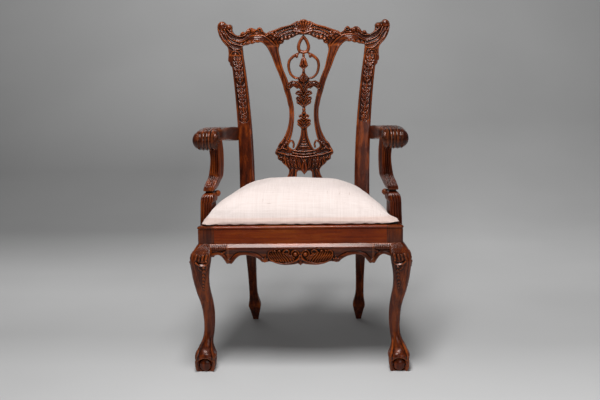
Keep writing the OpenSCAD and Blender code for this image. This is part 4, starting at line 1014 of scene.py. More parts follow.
def side_rail(side):
    """Side rail with its bead and rebate, from the front post to the back."""
    section = rail_section(RAIL_T)
    place = along_side(side, POST_D)
    length = (SEAT_D - POST_D) * SIDE_K
    rings = np.stack([place(np.full(len(section), s), section[:, 1], section[:, 0])
                      for s in np.linspace(0, length, 30)])
    name = side_name(side)
    finish_piece(f"{name}_seat_rail_moulded", *tubes(rings), WOOD["y"], f"{name}_seat_rail", sharp=30)


# ---------- aprons and brackets ----------

def nose(v):
    """How far the apron's moulding stands proud at height v: a sloping round that runs into a long hollow."""
    low, high, out = 371.5, 386.4, 9.0
    over = out * np.clip((high - v) / (high - low) / 0.76, 0, 1)
    fall = np.clip((low + 1 - v) / 19, 0, 1)
    return np.minimum(over, np.maximum(out - 7.6 * smoothstep(fall), 1.2))


def edge_beads(r, path, wide=6.0, tall=4.6):
    """Half-round moulding that follows a shaped lower edge."""
    w, d, _ = r.near(path, 2 * wide + 3)
    roll = tall * np.sqrt(np.clip(1 - ((d - wide) / wide) ** 2, 0, 1)) + 0.8
    low = r.V[w] < 372
    r.h[w] = np.where(low & (d < 2 * wide), np.maximum(roll, r.h[w] * (d > wide)), r.h[w])
    r.h[w] -= np.where(low, 1.1 * np.exp(-((d - 2 * wide - 0.9) / 0.9) ** 2), 0)


APRON_EDGE = [(0, 320), (4, 323), (9, 325), (16, 323), (26, 322), (48, 321), (70, 325), (86, 331),
              (101, 331), (108, 329.5), (114, 331), (120, 337), (130, 343.5), (141, 348), (157, 351.5),
              (176, 350.5), (189, 342), (197, 332), (204, 325), (208, 326.5), (213, 326)]


def front_apron_carving():
    """The front apron's right half; u is measured from the chair's middle."""
    r = Relief(-3, 216, 317, 388, 0.75)
    edge = curve(APRON_EDGE, 4)
    r.area(np.vstack([[(-6, 386)], [(-6, 320)], edge, [(220, edge[-1, 1]), (220, 386)]]))
    r.keep = r.U < 213.1
    r.h += nose(r.V)
    edge_beads(r, edge[edge[:, 0] > 104])
    # carved cuffs where the edge comes to its points
    for s in (-1, 1):
        r.leaf([(207, 328), (207 + 4 * s, 333), (207 + 8 * s, 340)], 3.6, 3.0, 2, 0.3, base=4.0)
        r.leaf([(104, 331), (104 + 4 * s, 336), (104 + 8 * s, 343)], 4.6, 4.4, 3, 0.3, base=3.6)
    r.leaf([(104, 328), (104, 337), (103, 348)], 4.6, 4.6, 2, 0.3, base=4.2)
    r.leaf([(112, 340), (124, 349), (138, 357), (154, 362)], 4.0, 2.4, 5, 0.35, base=2.4)
    # sunk ground of the shells
    ground = curve([(0, 352), (8, 366), (30, 370), (60, 369), (92, 366), (97, 352), (90, 338), (74, 329),
                    (54, 325), (30, 326), (10, 335), (0, 343)], 5)
    r.h = np.where(r.inside(ground), np.minimum(r.h, 1.0), r.h)
    # slanting ribs that spread from the lower rim
    for k in range(9):
        a, b = 19 + 7.6 * k, 331 + 0.9 * abs(k - 3)
        tip = (a + 21 - 0.8 * k, 361.5 - 1.2 * abs(k - 4))
        r.ridge(curve([(a, b), (a + 5, b + 9), (a + 12, b + 17), tip]), 3.3, 6.4, 2.0, over=1.0)
    for u in (62, 75, 88):
        r.ball(u, 364.5, 5, 6.4, 4, 20, over=1.6)
    # curled leaf over the ribs
    r.ridge(curve([(48, 350), (50, 360), (44, 367), (36, 367), (33, 360), (37, 355)]), 3.0, 7.4, 2.0,
            over=1.6)
    r.ridge(curve([(38, 352), (30, 347), (27, 338)]), 3.0, 6.0, 2.0, over=1.4)
    # C-scroll: rim, inner line and the round eye
    rim = curve([(4, 355), (9, 364), (18, 366), (25, 359), (25, 349), (17, 343)], 6)
    r.ridge(rim, 2.6, 7.0, 2.2, over=1.6)
    r.ridge(curve([(2, 349), (6, 340), (19, 332), (36, 328), (56, 327), (74, 331), (89, 340), (94.5, 353),
                   (91, 364), (84, 367), (80, 362)]), 4.0, 7.6, 2.4, over=1.2)
    r.groove(curve([(8, 341), (21, 334), (38, 330), (56, 329.5), (73, 333.5), (87, 342), (92, 354)]), 0.9,
             1.6)
    r.ball(14.5, 353.5, 7.4, 10.5, over=1.0)
    # small drop in the middle
    r.leaf([(0, 343), (0, 335), (0, 328), (0, 320)], 6.5, 6.4, 2, 0.3, base=1.2, blunt=0.8)
    r.leaf([(0, 346), (0, 356), (0, 367)], 3.6, 5.0, 2, 0.3, base=1.2)
    r.soften()
    return r


def front_apron():
    """Carved apron under the front rail."""
    whole = full_width(front_apron_carving(), 213.6)
    points, faces = board(whole, lambda u, v, depth: np.column_stack([u, depth, v]), APRON_T, 1.6, 0.6)
    finish_piece("front_apron_carved", points, faces, WOOD["x"], "front_apron")


def side_apron(side):
    """Moulded apron under a side rail."""
    length = (SEAT_D - 96) * SIDE_K
    r = Relief(-1, length + 1, 322, 388, 1.2)
    edge = curve([(0, 328), (5, 334), (12, 342), (25, 350), (40, 356), (75, 360), (110, 360), (180, 359.5),
                  (length - 90, 360), (length - 45, 358), (length - 20, 352), (length, 345)], 4)
    r.area(np.vstack([edge, [(length, 386), (0, 386)]]))
    r.h += nose(r.V)
    edge_beads(r, edge)
    r.soften()
    points, faces = board(r, along_side(side, 96), APRON_T, 1.6, 0.6)
    name = side_name(side)
    finish_piece(f"{name}_apron_moulded", points, faces, WOOD["y"], f"{name}_apron")


def bracket_relief(length):
    """Knee bracket: upright gadroons on the moulding, a cut leaf and the edge moulding under them."""
    r = Relief(-3, length + 1.5, 322, 388, 0.75)
    edge = curve([(-6, 326), (0, 326), (4, 326), (8, 332), (12, 338), (20, 348), (30, 352.5), (40, 350),
                  (length, 345)], 5)
    r.area(np.vstack([edge, [(length, 386), (-6, 386)]]))
    r.keep = r.U > -0.1
    lobes = np.abs(np.sin(np.pi * (r.U + 0.06 * (r.V - 378)) / 5.4)) ** 0.7
    r.h += nose(r.V) * np.where(r.V > 368, 0.84 + 0.26 * lobes, 0.9)
    r.groove(curve([(14, 366.5), (26, 365), (38, 366), (52, 367)]), 1.3, 5, 1.0)
    r.groove(curve([(3, 370), (12, 366), (22, 361), (32, 358.5)]), 1.3, 4, 0.8)
    r.leaf([(2, 366), (10, 362), (18, 356), (24, 352)], 3.2, 2.2, 3, 0.3, base=4.6)
    edge_beads(r, edge, 5.6, 4.2)
    for u, v in ((2.5, 329), (5.5, 333), (8, 337)):
        r.ball(u, v, 2.2, 2.0, over=4.6)
    r.soften()
    return r


def knee_brackets(side):
    """The two glued ears beside a front knee, one in front and one at the side."""
    name = side_name(side)
    r = bracket_relief(52)
    points, faces = board(r, lambda u, v, depth: np.column_stack([u + 213.05, depth, v]), APRON_T, 1.6, 0.6)
    finish_piece(f"front_{name}_knee_bracket_carved", points, faces, WOOD["x"], f"front_{name}_knee_bracket",
                 mirror=side < 0)
    place = along_side(side, 95.85)
    points, faces = board(r, lambda u, v, depth: place(-u, v, depth), APRON_T, 1.6, 0.6)
    finish_piece(f"side_{name}_knee_bracket_carved", points, faces, WOOD["y"], f"side_{name}_knee_bracket")


# ---------- front legs ----------

def knee_carving():
    """u is the distance round from the leg's outer corner, v the height."""
    r = Relief(-1, 66, 236, 388, 0.75)
    # flutes down from the top, parted by thin grooves
    for k in range(10):
        u, lean = 5.5 + 5.3 * k, 6.0 - 0.4 * k
        tip = 347 + 4 * math.sin(k * 1.7)
        r.groove(curve([(u + lean, 395), (u + 0.7 * lean, 380), (u + 0.2 * lean, 364), (u, tip)]), 1.15,
                 1.7, 0.9)
    # leaf tips over a curled leaf with its hollow
    for u, v in ((14, 350), (24, 347), (34, 348), (45, 350), (55, 353)):
        r.leaf([(u, v + 8), (u - 0.5, v), (u - 1.5, v - 8), (u - 3, v - 13)], 4.2, 3.0, 2, 0.3, 0.8, base=0.2)
    r.groove(curve([(17, 338), (24, 333), (33, 331), (42, 333), (50, 340)]), 2.8, 3.6, 1.6)
    r.ridge(curve([(14, 334), (21, 328), (31, 325), (42, 326), (52, 334)]), 2.6, 3.4, 1.2, over=0.2)
    r.ball(45, 337, 3.4, 3.8, over=0.4)
    r.ball(35, 319, 4.4, 4.2, 3.2, 20, over=0.4)
    r.leaf([(22, 326), (22, 318), (26, 312), (31, 309)], 3.6, 2.8, 3, base=0.2)
    r.leaf([(46, 326), (47, 317), (43, 311), (38, 308)], 3.6, 2.8, 3, base=0.2)
    # bellflowers that get smaller down the leg
    for u, v, q in ((35, 306, 5.4), (32, 294, 4.8), (30, 283, 4.4), (27, 272, 3.8), (25, 262, 3.2),
                    (24, 253, 2.6)):
        for k in (-1, 0, 1):
            r.leaf([(u + 0.3 * k, v + q), (u + 2.6 * k * q / 5, v), (u + 4.4 * k * q / 5, v - q)], q * 0.42,
                   2.6, 1, 0.1, 0.3, base=0.1)
        r.ball(u, v + q * 1.1, 1.6, 2.4, over=0.1)
    # line that frames the carving
    r.ridge(curve([(9, 342), (9.5, 322), (12, 298), (15, 274), (19, 252)]), 1.5, 0.9)
    r.soften()
    return r


def foot_reach(angle, z):
    """Polar radius of the ball and claw foot; the claws stand on the diagonals."""
    off = np.abs(((angle - 45) % 90 + 45) % 90 - 45)
    # towards the middle of the chair the foot starts lower down
    inner = np.clip(-np.cos(np.radians(angle)), 0, 1) ** 0.8
    low = z + 9 * np.clip((z - 42) / 14, 0, 1) * inner
    read = lambda table: lookup(table)(low.ravel())[:, 0].reshape(z.shape)
    web = read([(0, 30), (30, 30), (38, 30.4), (44, 31.8), (49, 31.8), (54, 30.2), (60, 27), (66, 23.6),
                (74, 20.4), (82, 18.4), (92, 16.8), (102, 15.9), (112, 15.6), (122, 15.6)])
    claw = read([(0, 33), (3, 35.6), (8, 38.2), (14, 39.8), (20, 40.6), (26, 41), (31, 40.6), (36, 38.8),
                 (41, 39.8), (47, 40.2), (53, 38.2), (58, 36), (64, 33.8), (70, 30.6), (78, 26.6), (86, 23),
                 (94, 20.2), (102, 18), (112, 16.2), (122, 16)])
    ball = np.sqrt(np.clip(29.5 ** 2 - (z - 20) ** 2, 16, None))
    # the ball shows as a round disc in each face, in a dark groove under the web's lip
    away = np.hypot(29.5 * np.sin(np.radians(45 - off)), z - 20)
    disc = np.clip((19.0 - away) / 1.4, 0, 1)
    lip = np.clip((away - 20.4) / 1.8, 0, 1) * np.clip((z - 20) / 5, 0, 1)
    under = ball - 3.6 + 3.6 * disc + np.clip((away - 20.2) / 2.4, 0,
                                              1) * np.clip(claw - 6 - ball + 3.6, 0, 6.5)
    swell = np.clip(1 - off / 45, 0, 1) ** 1.2
    skin = web + np.clip(claw - 3.6 - web, 0, None) * swell
    base = under + (skin - under) * lip
    lateral = claw * np.sin(np.radians(off))
    width = np.interp(z, [0, 8, 20, 34, 45, 58, 75, 95, 112], [5.0, 5.4, 5.2, 5.2, 5.8, 5.0, 4.2, 3.4, 3])
    ridge = np.sqrt(np.clip(1 - (lateral / width) ** 2, 0, 1))
    reach = np.where(claw > base, base + (claw - base) * ridge, base)
    # thin tendon lines beside each claw
    line = np.exp(-((lateral - width - 1.4) / 0.8) ** 2) * (z > 46) * (z < 96)
    second = np.exp(-((lateral - width - 4.6) / 0.8) ** 2) * (z > 60) * (z < 92)
    return reach - 0.7 * line - 0.4 * second


def leg_post():
    """Square post over a front leg, and the rails' bead and lip that run round it."""
    face = [(POST_INNER, 0, 0, 1), (298.8, 0, 0, 1), (299.7, 0.4, 0.7, 0.7), (HALF_W, 1.4, 1, 0)]
    rear, lip_in = side_x(POST_D), 10 * SIDE_K
    square = face + [(rear, POST_D, 1, 0), (POST_INNER, POST_D, 0, 0)]
    rim = face + [(rear, POST_D, 1, 0), (rear - lip_in, POST_D, 0, 0), (side_x(10) - lip_in, 10, 0, 0),
                  (POST_INNER, 10, 0, 0)]
    return [np.array([[(x - depth * out_x, y + depth * out_y, height) for x, y, out_x, out_y in outline]
                      for depth, height in levels], float)
            for levels, outline in (([(0.4, LEG_TOP), (0, LEG_TOP + 0.5), (0, LEDGE_Z)], square),
                                    ([(0, LEDGE_Z)] + BEAD, rim))]


def front_leg(side, carving):
    """Cabriole leg with its carved knee and ball-and-claw foot, and the post over it."""
    # height, how far the middle stands in from the chair's corner, half width
    table = [(386, 23.5, 23.5), (380, 19.5, 24.2), (374, 15.5, 25), (366, 12.6, 27.4), (358, 10, 29.5),
             (345, 6.8, 29.8), (332, 5.4, 29.6), (318, 4.8, 28), (306, 4.6, 26), (283, 5, 23.6),
             (259, 7.4, 21.6), (235, 11.8, 20.4), (210, 17.6, 19), (186, 21.6, 17.8), (160, 23.6, 16.8),
             (140, 23.8, 16), (125, 23.2, 15.6), (112, 22, 15.5), (99, 20, 16), (87, 17.4, 18),
             (70, 14, 24), (50, 12, 28), (32, 11.5, 31), (14, 11.5, 28), (0, 11.5, 16)]
    n = 208
    z = np.concatenate([np.linspace(0, 30, 38), np.linspace(30.7, 62, 46), np.linspace(63, 110, 36),
                        np.linspace(112, 236, 54), np.arange(238, 385.8, 1.05), [386]])
    inset, half = lookup(table)(z).T
    t = np.radians(np.linspace(-45, 315, 2400, endpoint=False))
    power = lambda v, p: np.sign(v) * np.abs(v) ** p
    unit = even_ring(np.column_stack([power(np.cos(t), 0.62), power(np.sin(t), 0.62)]), n)
    angle = np.degrees(np.arctan2(unit[:, 1], unit[:, 0]))
    size = np.hypot(*unit.T)
    reach = half[:, None] * size
    Z = np.repeat(z[:, None], n, 1)
    foot = foot_reach(np.repeat(angle[None], len(z), 0), Z)
    blend = smoothstep(np.clip((112 - Z) / 14, 0, 1))
    reach = reach * (1 - blend) + foot * blend
    reach = np.where(Z < 1.2, reach - 1.5 * (1 - Z / 1.2), reach)
    direction = np.radians(angle)
    # the knee is squarer in plan towards its top
    square = even_ring(np.column_stack([power(np.cos(t), 0.36), power(np.sin(t), 0.36)]), n)
    share = np.clip((Z - 320) / 40, 0, 1) * half[:, None]
    x = HALF_W - inset[:, None] + reach * np.cos(direction) + share * (square[:, 0] - unit[:, 0])
    ahead = 3.5 * np.clip((70 - Z) / 30, 0, 1)
    y = inset[:, None] - ahead + reach * np.sin(direction) + share * (square[:, 1] - unit[:, 1])
    rings = np.stack([x, y, Z], 2)
    closed = np.concatenate([rings[:, :, :2], rings[:, :1, :2]], 1)
    perimeter = np.hypot(*np.moveaxis(np.diff(closed, axis=1), 2, 0)).sum(1)[:, None]
    j = np.arange(n)
    u = np.minimum(j, n - j)[None] / n * perimeter
    lift = carving.at(u, Z) * np.clip((Z - 240) / 8, 0, 1) * np.clip((u - 2.5) / 4, 0, 1)
    lift = lift * np.clip((np.minimum(perimeter / 4 + 2, 60) - u) / 8, 0, 1)
    rings = push_out(rings, lift)
    rings[:, :, 2] = np.clip(rings[:, :, 2], 0, LEG_TOP)
    name = side_name(side)
    finish_piece(f"front_{name}_leg_carved", *tubes(rings, *leg_post()), WOOD["z"], f"front_{name}_leg",
                 mirror=side < 0, sharp=48)


# ---------- arms ----------

ROLL_Y, ROLL_Z = 118, 678.6         # axis of the rolled hand hold


def arm_limb():
    """The arm from the stile to the roll, with leaves on its top."""
    # depth, inner face, width, middle height, height
    y1 = float(back_y(659))
    rear_x = float(stile_out(659)) - 2
    table = [(y1 + 12, rear_x, 30, 657.8, 43.6), (y1, rear_x, 30, 658, 44),
             (y1 - 60, (rear_x + 229) / 2, 34, 665, 45), (y1 - 130, 230, 41, 673, 42),
             (y1 - 210, 231, 57, 680.8, 40.5), (208, 232.5, 70, 686.5, 39), (163, 237, 80, 690.3, 36),
             (140, 245, 78, 692, 33), (118, 254, 69, 693.5, 28)]
    y = np.concatenate([np.linspace(ROLL_Y, 200, 70), np.linspace(203, y1 + 12, 84)])
    x_in, wide, mid, tall = lookup(table)(y).T
    a, b = box_ring(64, 16, 30, 6.5)
    # b = -1 is the top here: the ring's "front" looks up
    x = (x_in + wide / 2)[:, None] + wide[:, None] / 2 * a
    zz = mid[:, None] - tall[:, None] / 2 * b
    top = b < -0.75
    u = a * wide[:, None] / 2
    edge = np.abs(wide[:, None] / 2 - np.abs(u))
    lift = top * (1.5 * np.exp(-((edge - 3.6) / 1.8) ** 2) - 1.1 * np.exp(-((edge - 7.4) / 1.5) ** 2))
    leaf = Relief(-38, 38, 110, 236, 0.9)
    for uu, v1, q in ((-30, 196, 7), (-20, 208, 8), (-10, 222, 8), (0, 231, 8), (10, 222, 8), (20, 208, 8),
                      (30, 196, 7)):
        leaf.leaf([(uu, 96), (uu, 130), (uu * 0.9, 165), (uu * 0.8, v1)], q, 3.2, 8, 0.35, 0.9, base=0.4,
                  blunt=1.2)
    Y = np.repeat(y[:, None], len(a), 1)
    lift = lift + np.where(top, leaf.at(u, Y), 0)
    zz = zz + np.where(top, lift, 0)
    # its front outer corner rounds down over the end of the roll
    dome = ROLL_Z + 30 * np.sqrt(np.clip(1 - (np.clip(x - 292, 0, 31) / 31) ** 2, 0, 1))
    share = np.clip((215 - Y) / 55, 0, 1)
    zz = np.where(x > 292, zz + (np.minimum(zz, dome) - zz) * share, zz)
    return np.stack([x, Y, zz], 2)


def arm_roll():
    """Rolled hand hold, turned about the X axis, with its inner end facing a little to the front."""
    profile = np.vstack([curve([(252, 0.4), (251.6, 10), (251.8, 20), (252.2, 25)], 14),
                         curve([(252.6, 26.4), (254, 28.4), (257, 29.4), (276, 29.6), (292, 29.2)], 9),
                         curve([(298, 28.6), (306, 26.6), (314, 22), (319.6, 15), (322.6, 7), (323.2, 0.4)],
                               12)])
    m = 140
    s = np.concatenate([[0], np.cumsum(np.hypot(*np.diff(profile, axis=0).T))])
    roll, phi = lathe(profile, m, ROLL_Y, ROLL_Z)
    turned = np.clip((300 - profile[:, 0]) / 46, 0, 1)[:, None]
    roll[:, :, 0] -= 0.2 * (roll[:, :, 1] - 96) * turned
    r = Relief(-2, s[-1] + 2, -4, 364, 0.8)
    end = s[13]
    # leaves that wrap round the roll, finely veined
    for k in range(7):
        uu = end + 5 + 10.5 * k
        r.leaf([(uu, 50), (uu + 1, 120), (uu, 190), (uu + 0.5, 290)], 6.4, 2.6, 0, 0.2, 0.9, base=0.2,
               blunt=0.8)
        for j in (-3.4, 0, 3.4):
            r.groove(curve([(uu + j * 0.7, 60), (uu + j * 1.1, 130), (uu + j, 190), (uu + j * 0.6, 268)]),
                     0.8, 1.5)
    lift = r.at(np.repeat(s[:, None], m, 1), np.repeat(np.degrees(phi)[None], len(s), 0))
    lift = lift * np.clip((s[:, None] - end - 3) / 3, 0, 1) * np.clip((s[-1] - s[:, None]) / 14, 0, 1)
    # volute on the flat inner end
    radius = profile[:, 1][:, None] * np.ones(m)
    turn = (np.degrees(phi)[None] + 60) % 360 / 360
    face = s[:, None] < end + 1
    for k in (0, 1, 2):
        line = 27.5 - 9.2 * (k + turn)
        cord = 2.6 * np.sqrt(np.clip(1 - ((radius - line) / 3.1) ** 2, 0, 1))
        lift = lift + np.where(face & (radius > 3), cord, 0)
    lift = lift + np.where(face, 3.4 * np.sqrt(np.clip(1 - (radius / 5.2) ** 2, 0, 1)), 0)
    return push_out(roll, lift)


def arm(side):
    """Arm with its rolled hand hold."""
    name = side_name(side)
    finish_piece(f"{name}_arm_carved", *tubes(arm_limb(), arm_roll()), WOOD["y"], f"{name}_arm",
                 mirror=side < 0, sharp=50)


SUPPORT_FRONT, SUPPORT_REAR = 72, 117       # depth of the arm supports' front and rear at the seat
SUPPORT_INNER = 264.5                       # their inner edge in front
SUPPORT_TURN = 0.1844                       # how their inner face runs in towards the rear
SCROLL_Y, SCROLL_Z = 122, 517               # axis of the scroll end behind them


def scroll_end():
    """Round scroll end behind an arm support's turn-over."""
    t = np.radians(np.linspace(2, 118, 20))
    ball = np.column_stack([243.5 - 9.8 * np.cos(t) + 9.8, 9.8 * np.sin(t)])
    profile = np.vstack([ball[:1] * (1, 0.3), ball, [(262, 7.6), (274, 6.4)]])
    return lathe(profile, 36, SCROLL_Y, SCROLL_Z)[0]


def arm_support(side):
    """Reeded lower part, leaf turn-over, and a fluted upper part that leans back under the arm."""
    # height, outer and inner edge of the front face, its place in depth, depth of the side, turn of the side
    table = [(394, 302, 275.3, 73.5, 42, 0.184), (400, 302.4, 271.9, 72.5, 44, 0.184),
             (410, 302.6, 268.6, 72, 45, 0.184), (438, 302.4, 264.5, 72, 45, 0.184),
             (460, 301.4, 264.5, 72, 45, 0.184), (480, 300.8, 264.5, 72.2, 45, 0.184),
             (493, 300.4, 264.4, 72.4, 45, 0.184), (498, 300, 261, 73, 44.5, 0.184),
             (504, 299.4, 259.2, 74, 43.5, 0.184), (512, 297.6, 259, 77, 42, 0.184),
             (517, 294.8, 260, 80, 39, 0.184), (521, 291, 262, 85, 33, 0.184),
             (524, 286.5, 264.5, 90, 26, 0.184), (528, 286.5, 264.5, 91, 26, 0.184),
             (530.4, 291.8, 262.4, 84.5, 42, 0.19), (536, 291.6, 259.4, 85.5, 43, 0.2),
             (541, 290, 256.8, 88, 43, 0.205), (552, 285.8, 252.4, 96.5, 42.5, 0.22),
             (564, 280, 246.8, 106.5, 41.6, 0.235), (575, 277.2, 245.2, 113, 41, 0.24),
             (586, 275.6, 244.4, 116, 41, 0.24), (602, 273.4, 243.7, 117, 41, 0.24),
             (623, 272.4, 243.5, 116.5, 41.6, 0.24), (645, 274.3, 244.2, 115, 42.6, 0.24),
             (660, 276, 245.4, 113, 42.6, 0.24), (676, 278, 247, 112, 42.6, 0.24)]
    z = np.concatenate([np.linspace(394, 504, 90), np.linspace(505, 548, 62), np.linspace(549, 676, 96)])
    outer_x, inner_x, front_y, deep, turn = lookup(table)(z).T[..., None]
    a, b = box_ring(100, 30, 20, 9)
    hx, hy = (outer_x - inner_x) / 2, deep / 2
    x = (outer_x + inner_x) / 2 + hx * a - turn * hy * (b + 1)
    y = front_y + hy * (b + 1)
    Z = np.repeat(z[:, None], len(a), 1)
    front = b < -0.86
    outer = (a > 0.9) & ~front
    edge = np.clip((0.98 - np.abs(a)) / 0.06, 0, 1)
    reeds = np.abs(np.sin(np.pi * 2.5 * (a + 1))) ** 0.7
    lower = np.clip((517 - Z) / 8, 0, 1) * np.clip((Z - 400) / 12, 0, 1)
    lift = np.where(front, 2.4 * (reeds - 0.5) * lower * edge, 0)
    upper = np.clip((Z - 529) / 3, 0, 1) * np.clip((668 - Z) / 10, 0, 1)
    # flutes: five under the arm, forking into ten at the lip
    fork = np.clip((586 - Z) / 22, 0, 1)
    five, ten = (np.abs(np.sin(np.pi * n * (a + 1))) ** q for n, q in ((2.5, 0.7), (5, 0.4)))
    wave = five * (1 - fork) + fork * (0.45 * five + 0.7 * ten)
    lift += np.where(front, (3.4 - 1.8 * fork) * (wave - 0.5) * upper * edge, 0)
    side_reed = np.abs(np.sin(np.pi * 1.5 * (b + 1))) ** 0.8
    lift += np.where(outer, 1.8 * (side_reed - 0.5) * lower, 0)
    upper_reed = np.abs(np.sin(np.pi * (1.5 * (b + 1) + (Z - 540) / 160))) ** 0.8
    lift += np.where(outer, 1.8 * (upper_reed - 0.5) * upper, 0)
    rings = np.stack([x, y, Z], 2)
    # scalloped lip: every second flute hangs lower
    lip = np.where(front, 2.6 * (five - 0.4) * np.clip(1 - np.abs(Z - 531) / 4, 0, 1), 0)
    rings[:, :, 2] -= lip
    name = side_name(side)
    finish_piece(f"{name}_arm_support_carved", *tubes(push_out(rings, lift), scroll_end()), WOOD["z"],
                 f"{name}_arm_support", mirror=side < 0, sharp=50)


# ---------- drop-in seat ----------

SEAT_FRONT, SEAT_REAR = 11.5, 446.0         # front and rear edges of the drop-in seat
SEAT_MID = (SEAT_FRONT + SEAT_REAR) / 2
SEAT_HALF = (SEAT_REAR - SEAT_FRONT) / 2
INSET = SEAT_FRONT * SIDE_K                 # its sides' distance from the side rails' outer faces
PAD_Z = 445.0                               # top of its wooden frame


def crown(f, turn, rise, shrink, square):
    """Ring of the crown at share f of its plan; a small square makes its corners sharp."""
    p = square or 0.2 + 0.5 * (1 - f)
    power = lambda v: np.sign(v) * np.abs(v) ** p
    y = SEAT_MID + (SEAT_HALF - shrink) * f * power(np.sin(turn))
    x = (side_x(y) - INSET - shrink) * f * power(np.cos(turn))
    return np.column_stack([x, y, np.full(len(turn), rise)])


def support_wall(y, room):
    """Inner face of an arm support at depth y, less some room."""
    return SUPPORT_INNER - SUPPORT_TURN * (y - SUPPORT_FRONT) - room


def support_room(x, y, z):
    """Keeps points clear of the arm supports and their scroll ends, also while the seat is lifted."""
    high = np.clip((z - 450) / 10, 0, 1)
    limit = support_wall(y, 2.0) - 4.5 * high
    away = np.maximum(np.maximum(SUPPORT_FRONT - 4 - y, y - SUPPORT_REAR - 4), 0)
    limit = limit + away * 0.9 + np.maximum(away - 6, 0) * 4
    behind, hollow = y - SCROLL_Y, 15
    scroll = 255.5 - np.sqrt(np.clip(hollow ** 2 - behind ** 2, 0, None)) + 40 * (1 - high)
    limit = np.where(np.abs(behind) < hollow, np.minimum(limit, scroll), limit)
    return np.sign(x) * np.minimum(np.abs(x), limit)


def applied(made):
    """The object's mesh with its modifiers applied."""
    graph = bpy.context.evaluated_depsgraph_get()
    mesh = bpy.data.meshes.new_from_object(made.evaluated_get(graph))
    made.modifiers.clear()
    old, made.data = made.data, mesh
    bpy.data.meshes.remove(old)


def puffed(made, cap):
    """Fills a closed mesh with air like a cushion, its underside held; no point moves more than cap mm."""
    start = get_points(made.data)
    held = made.vertex_groups.new(name="held")
    low = np.flatnonzero(start[:, 2] * 1000 < PAD_Z + 7)
    held.add(low.tolist(), 1.0, "REPLACE")
    cloth = made.modifiers.new("cloth", "CLOTH")
    settings = cloth.settings
    settings.quality = 6
    settings.mass = 0.3
    settings.use_pressure = True
    settings.uniform_pressure_force = 4
    settings.tension_stiffness = settings.compression_stiffness = 12
    settings.shear_stiffness = 8
    settings.bending_stiffness = 0.6
    settings.vertex_group_mass = "held"
    settings.effector_weights.gravity = 0
    cloth.collision_settings.use_collision = False
    for f in range(1, 21):
        bpy.context.scene.frame_set(f)
    applied(made)
    bpy.context.scene.frame_set(1)
    moved = get_points(made.data)
    step = moved - start
    length = np.linalg.norm(step, axis=1, keepdims=True)
    soft = cap / 1000 * np.tanh(length / (cap / 1000)) / np.maximum(length, 1e-9)
    made.data.vertices.foreach_set("co", (start + step * soft).ravel())
    made.vertex_groups.clear()


def cushion_start():
    """The cushion before the cloth marks: a rounded pad on the seat's frame, puffed up by the simulation."""
    turn = np.radians(np.arange(0, 360, 2.5))
    rows = [(0.05, 448.7, 0.5), (0.5, 448.7, 0.3), (0.88, 448.7, 0.12), (0.93, 445.8, 0.1),
            (0.995, 445.6, 0.09), (1.0, 447.0, 0.09), (1.0, 449.5, 0.13)]
    shares = (0.995, 0.985, 0.97, 0.95, 0.92, 0.88, 0.83, 0.77, 0.7, 0.62, 0.53, 0.43, 0.32, 0.2, 0.08)
    rows += [(f, PAD_Z + 4 + 84 * (1 - f ** 3.4) ** 0.62, None) for f in shares]
    rings = np.stack([crown(f, turn, z, 1.5, square) for f, z, square in rows])
    mesh = bpy.data.meshes.new("seat_cushion")
    points = (rings.reshape(-1, 3) - (0, FRONT_Y, 0)) * 0.001
    mesh.from_pydata(points.tolist(), [], tube_faces(*rings.shape[:2]))
    made = placed("seat_cushion", mesh)
    remesh = made.modifiers.new("remesh", "REMESH")
    remesh.mode = "VOXEL"
    remesh.voxel_size = 0.006
    applied(made)
    puffed(made, 9.0)
    fine = made.modifiers.new("fine", "SUBSURF")
    fine.levels = fine.render_levels = 1
    applied(made)
    return made


def cloth_marks(p):
    """The cushion's points with its stuffing's unevenness, and how far the cloth stands out or in at each."""
    x, y, z = p.T
    up = np.clip((z - 449) / 20, 0, 1)
    # soft, broad unevenness of the stuffing
    uneven = 1.3 * np.sin(x * 0.021 + 1.0) * np.sin(y * 0.024 + 0.6) + 0.8 * np.sin(x * 0.047 - y * 0.031)
    z = z + up * uneven
    # it has settled towards one side
    z = z - up * 0.036 * x
    # pulls in the cloth along the front and the sides, short and unevenly spaced
    half = side_x(y) - INSET
    beside = half - np.abs(x)
    edge = np.minimum(np.minimum(y - SEAT_FRONT, SEAT_REAR - y), beside)
    along = np.where(beside < y - SEAT_FRONT, y, x)
    pull = np.sin(along * 0.13 + 1.7 * np.sin(along * 0.031)) * np.exp(-((z - 452) / 16) ** 2) * (z > 446)
    out = 0.7 * pull * np.exp(-(edge / 30) ** 2)
    # pleats where the cloth is folded at the corners
    for cx, cy in ((288, 12), (218, SEAT_REAR)):
        for aim, depth, reach in ((38, 1.5, 95), (54, 1.2, 70), (22, 1.0, 60)):
            a = math.radians(aim)
            du, dv = cx - np.abs(x), (y - cy) * (1 if cy < 200 else -1)
            s = du * math.cos(a) + dv * math.sin(a)
            d = du * math.sin(a) - dv * math.cos(a)
            fold = depth * np.exp(-(d / (2.6 + 0.03 * np.abs(s))) ** 2) * np.exp(-(s / reach) ** 2)
            out = out - fold * (s > -6) * up
    # crease above the frame's edge
    out = out - 1.0 * np.exp(-((z - 461) / 2.6) ** 2) * (edge < 30)
    # faint creases over the crown
    for x0, y0, angle, long, deep in ((-90, 120, 8, 70, 0.7), (40, 150, -6, 90, 0.6), (-20, 300, 14, 80, 0.6),
                                      (120, 210, 60, 60, 0.5)):
        a = math.radians(angle)
        s = (x - x0) * math.cos(a) + (y - y0) * math.sin(a)
        d = (y - y0) * math.cos(a) - (x - x0) * math.sin(a) + 3 * np.sin(s * 0.04)
        z = z - deep * np.exp(-(d / 3.5) ** 2) * np.exp(-(s / long) ** 2) * (z > 500)
    return np.column_stack([x, y, z]), out


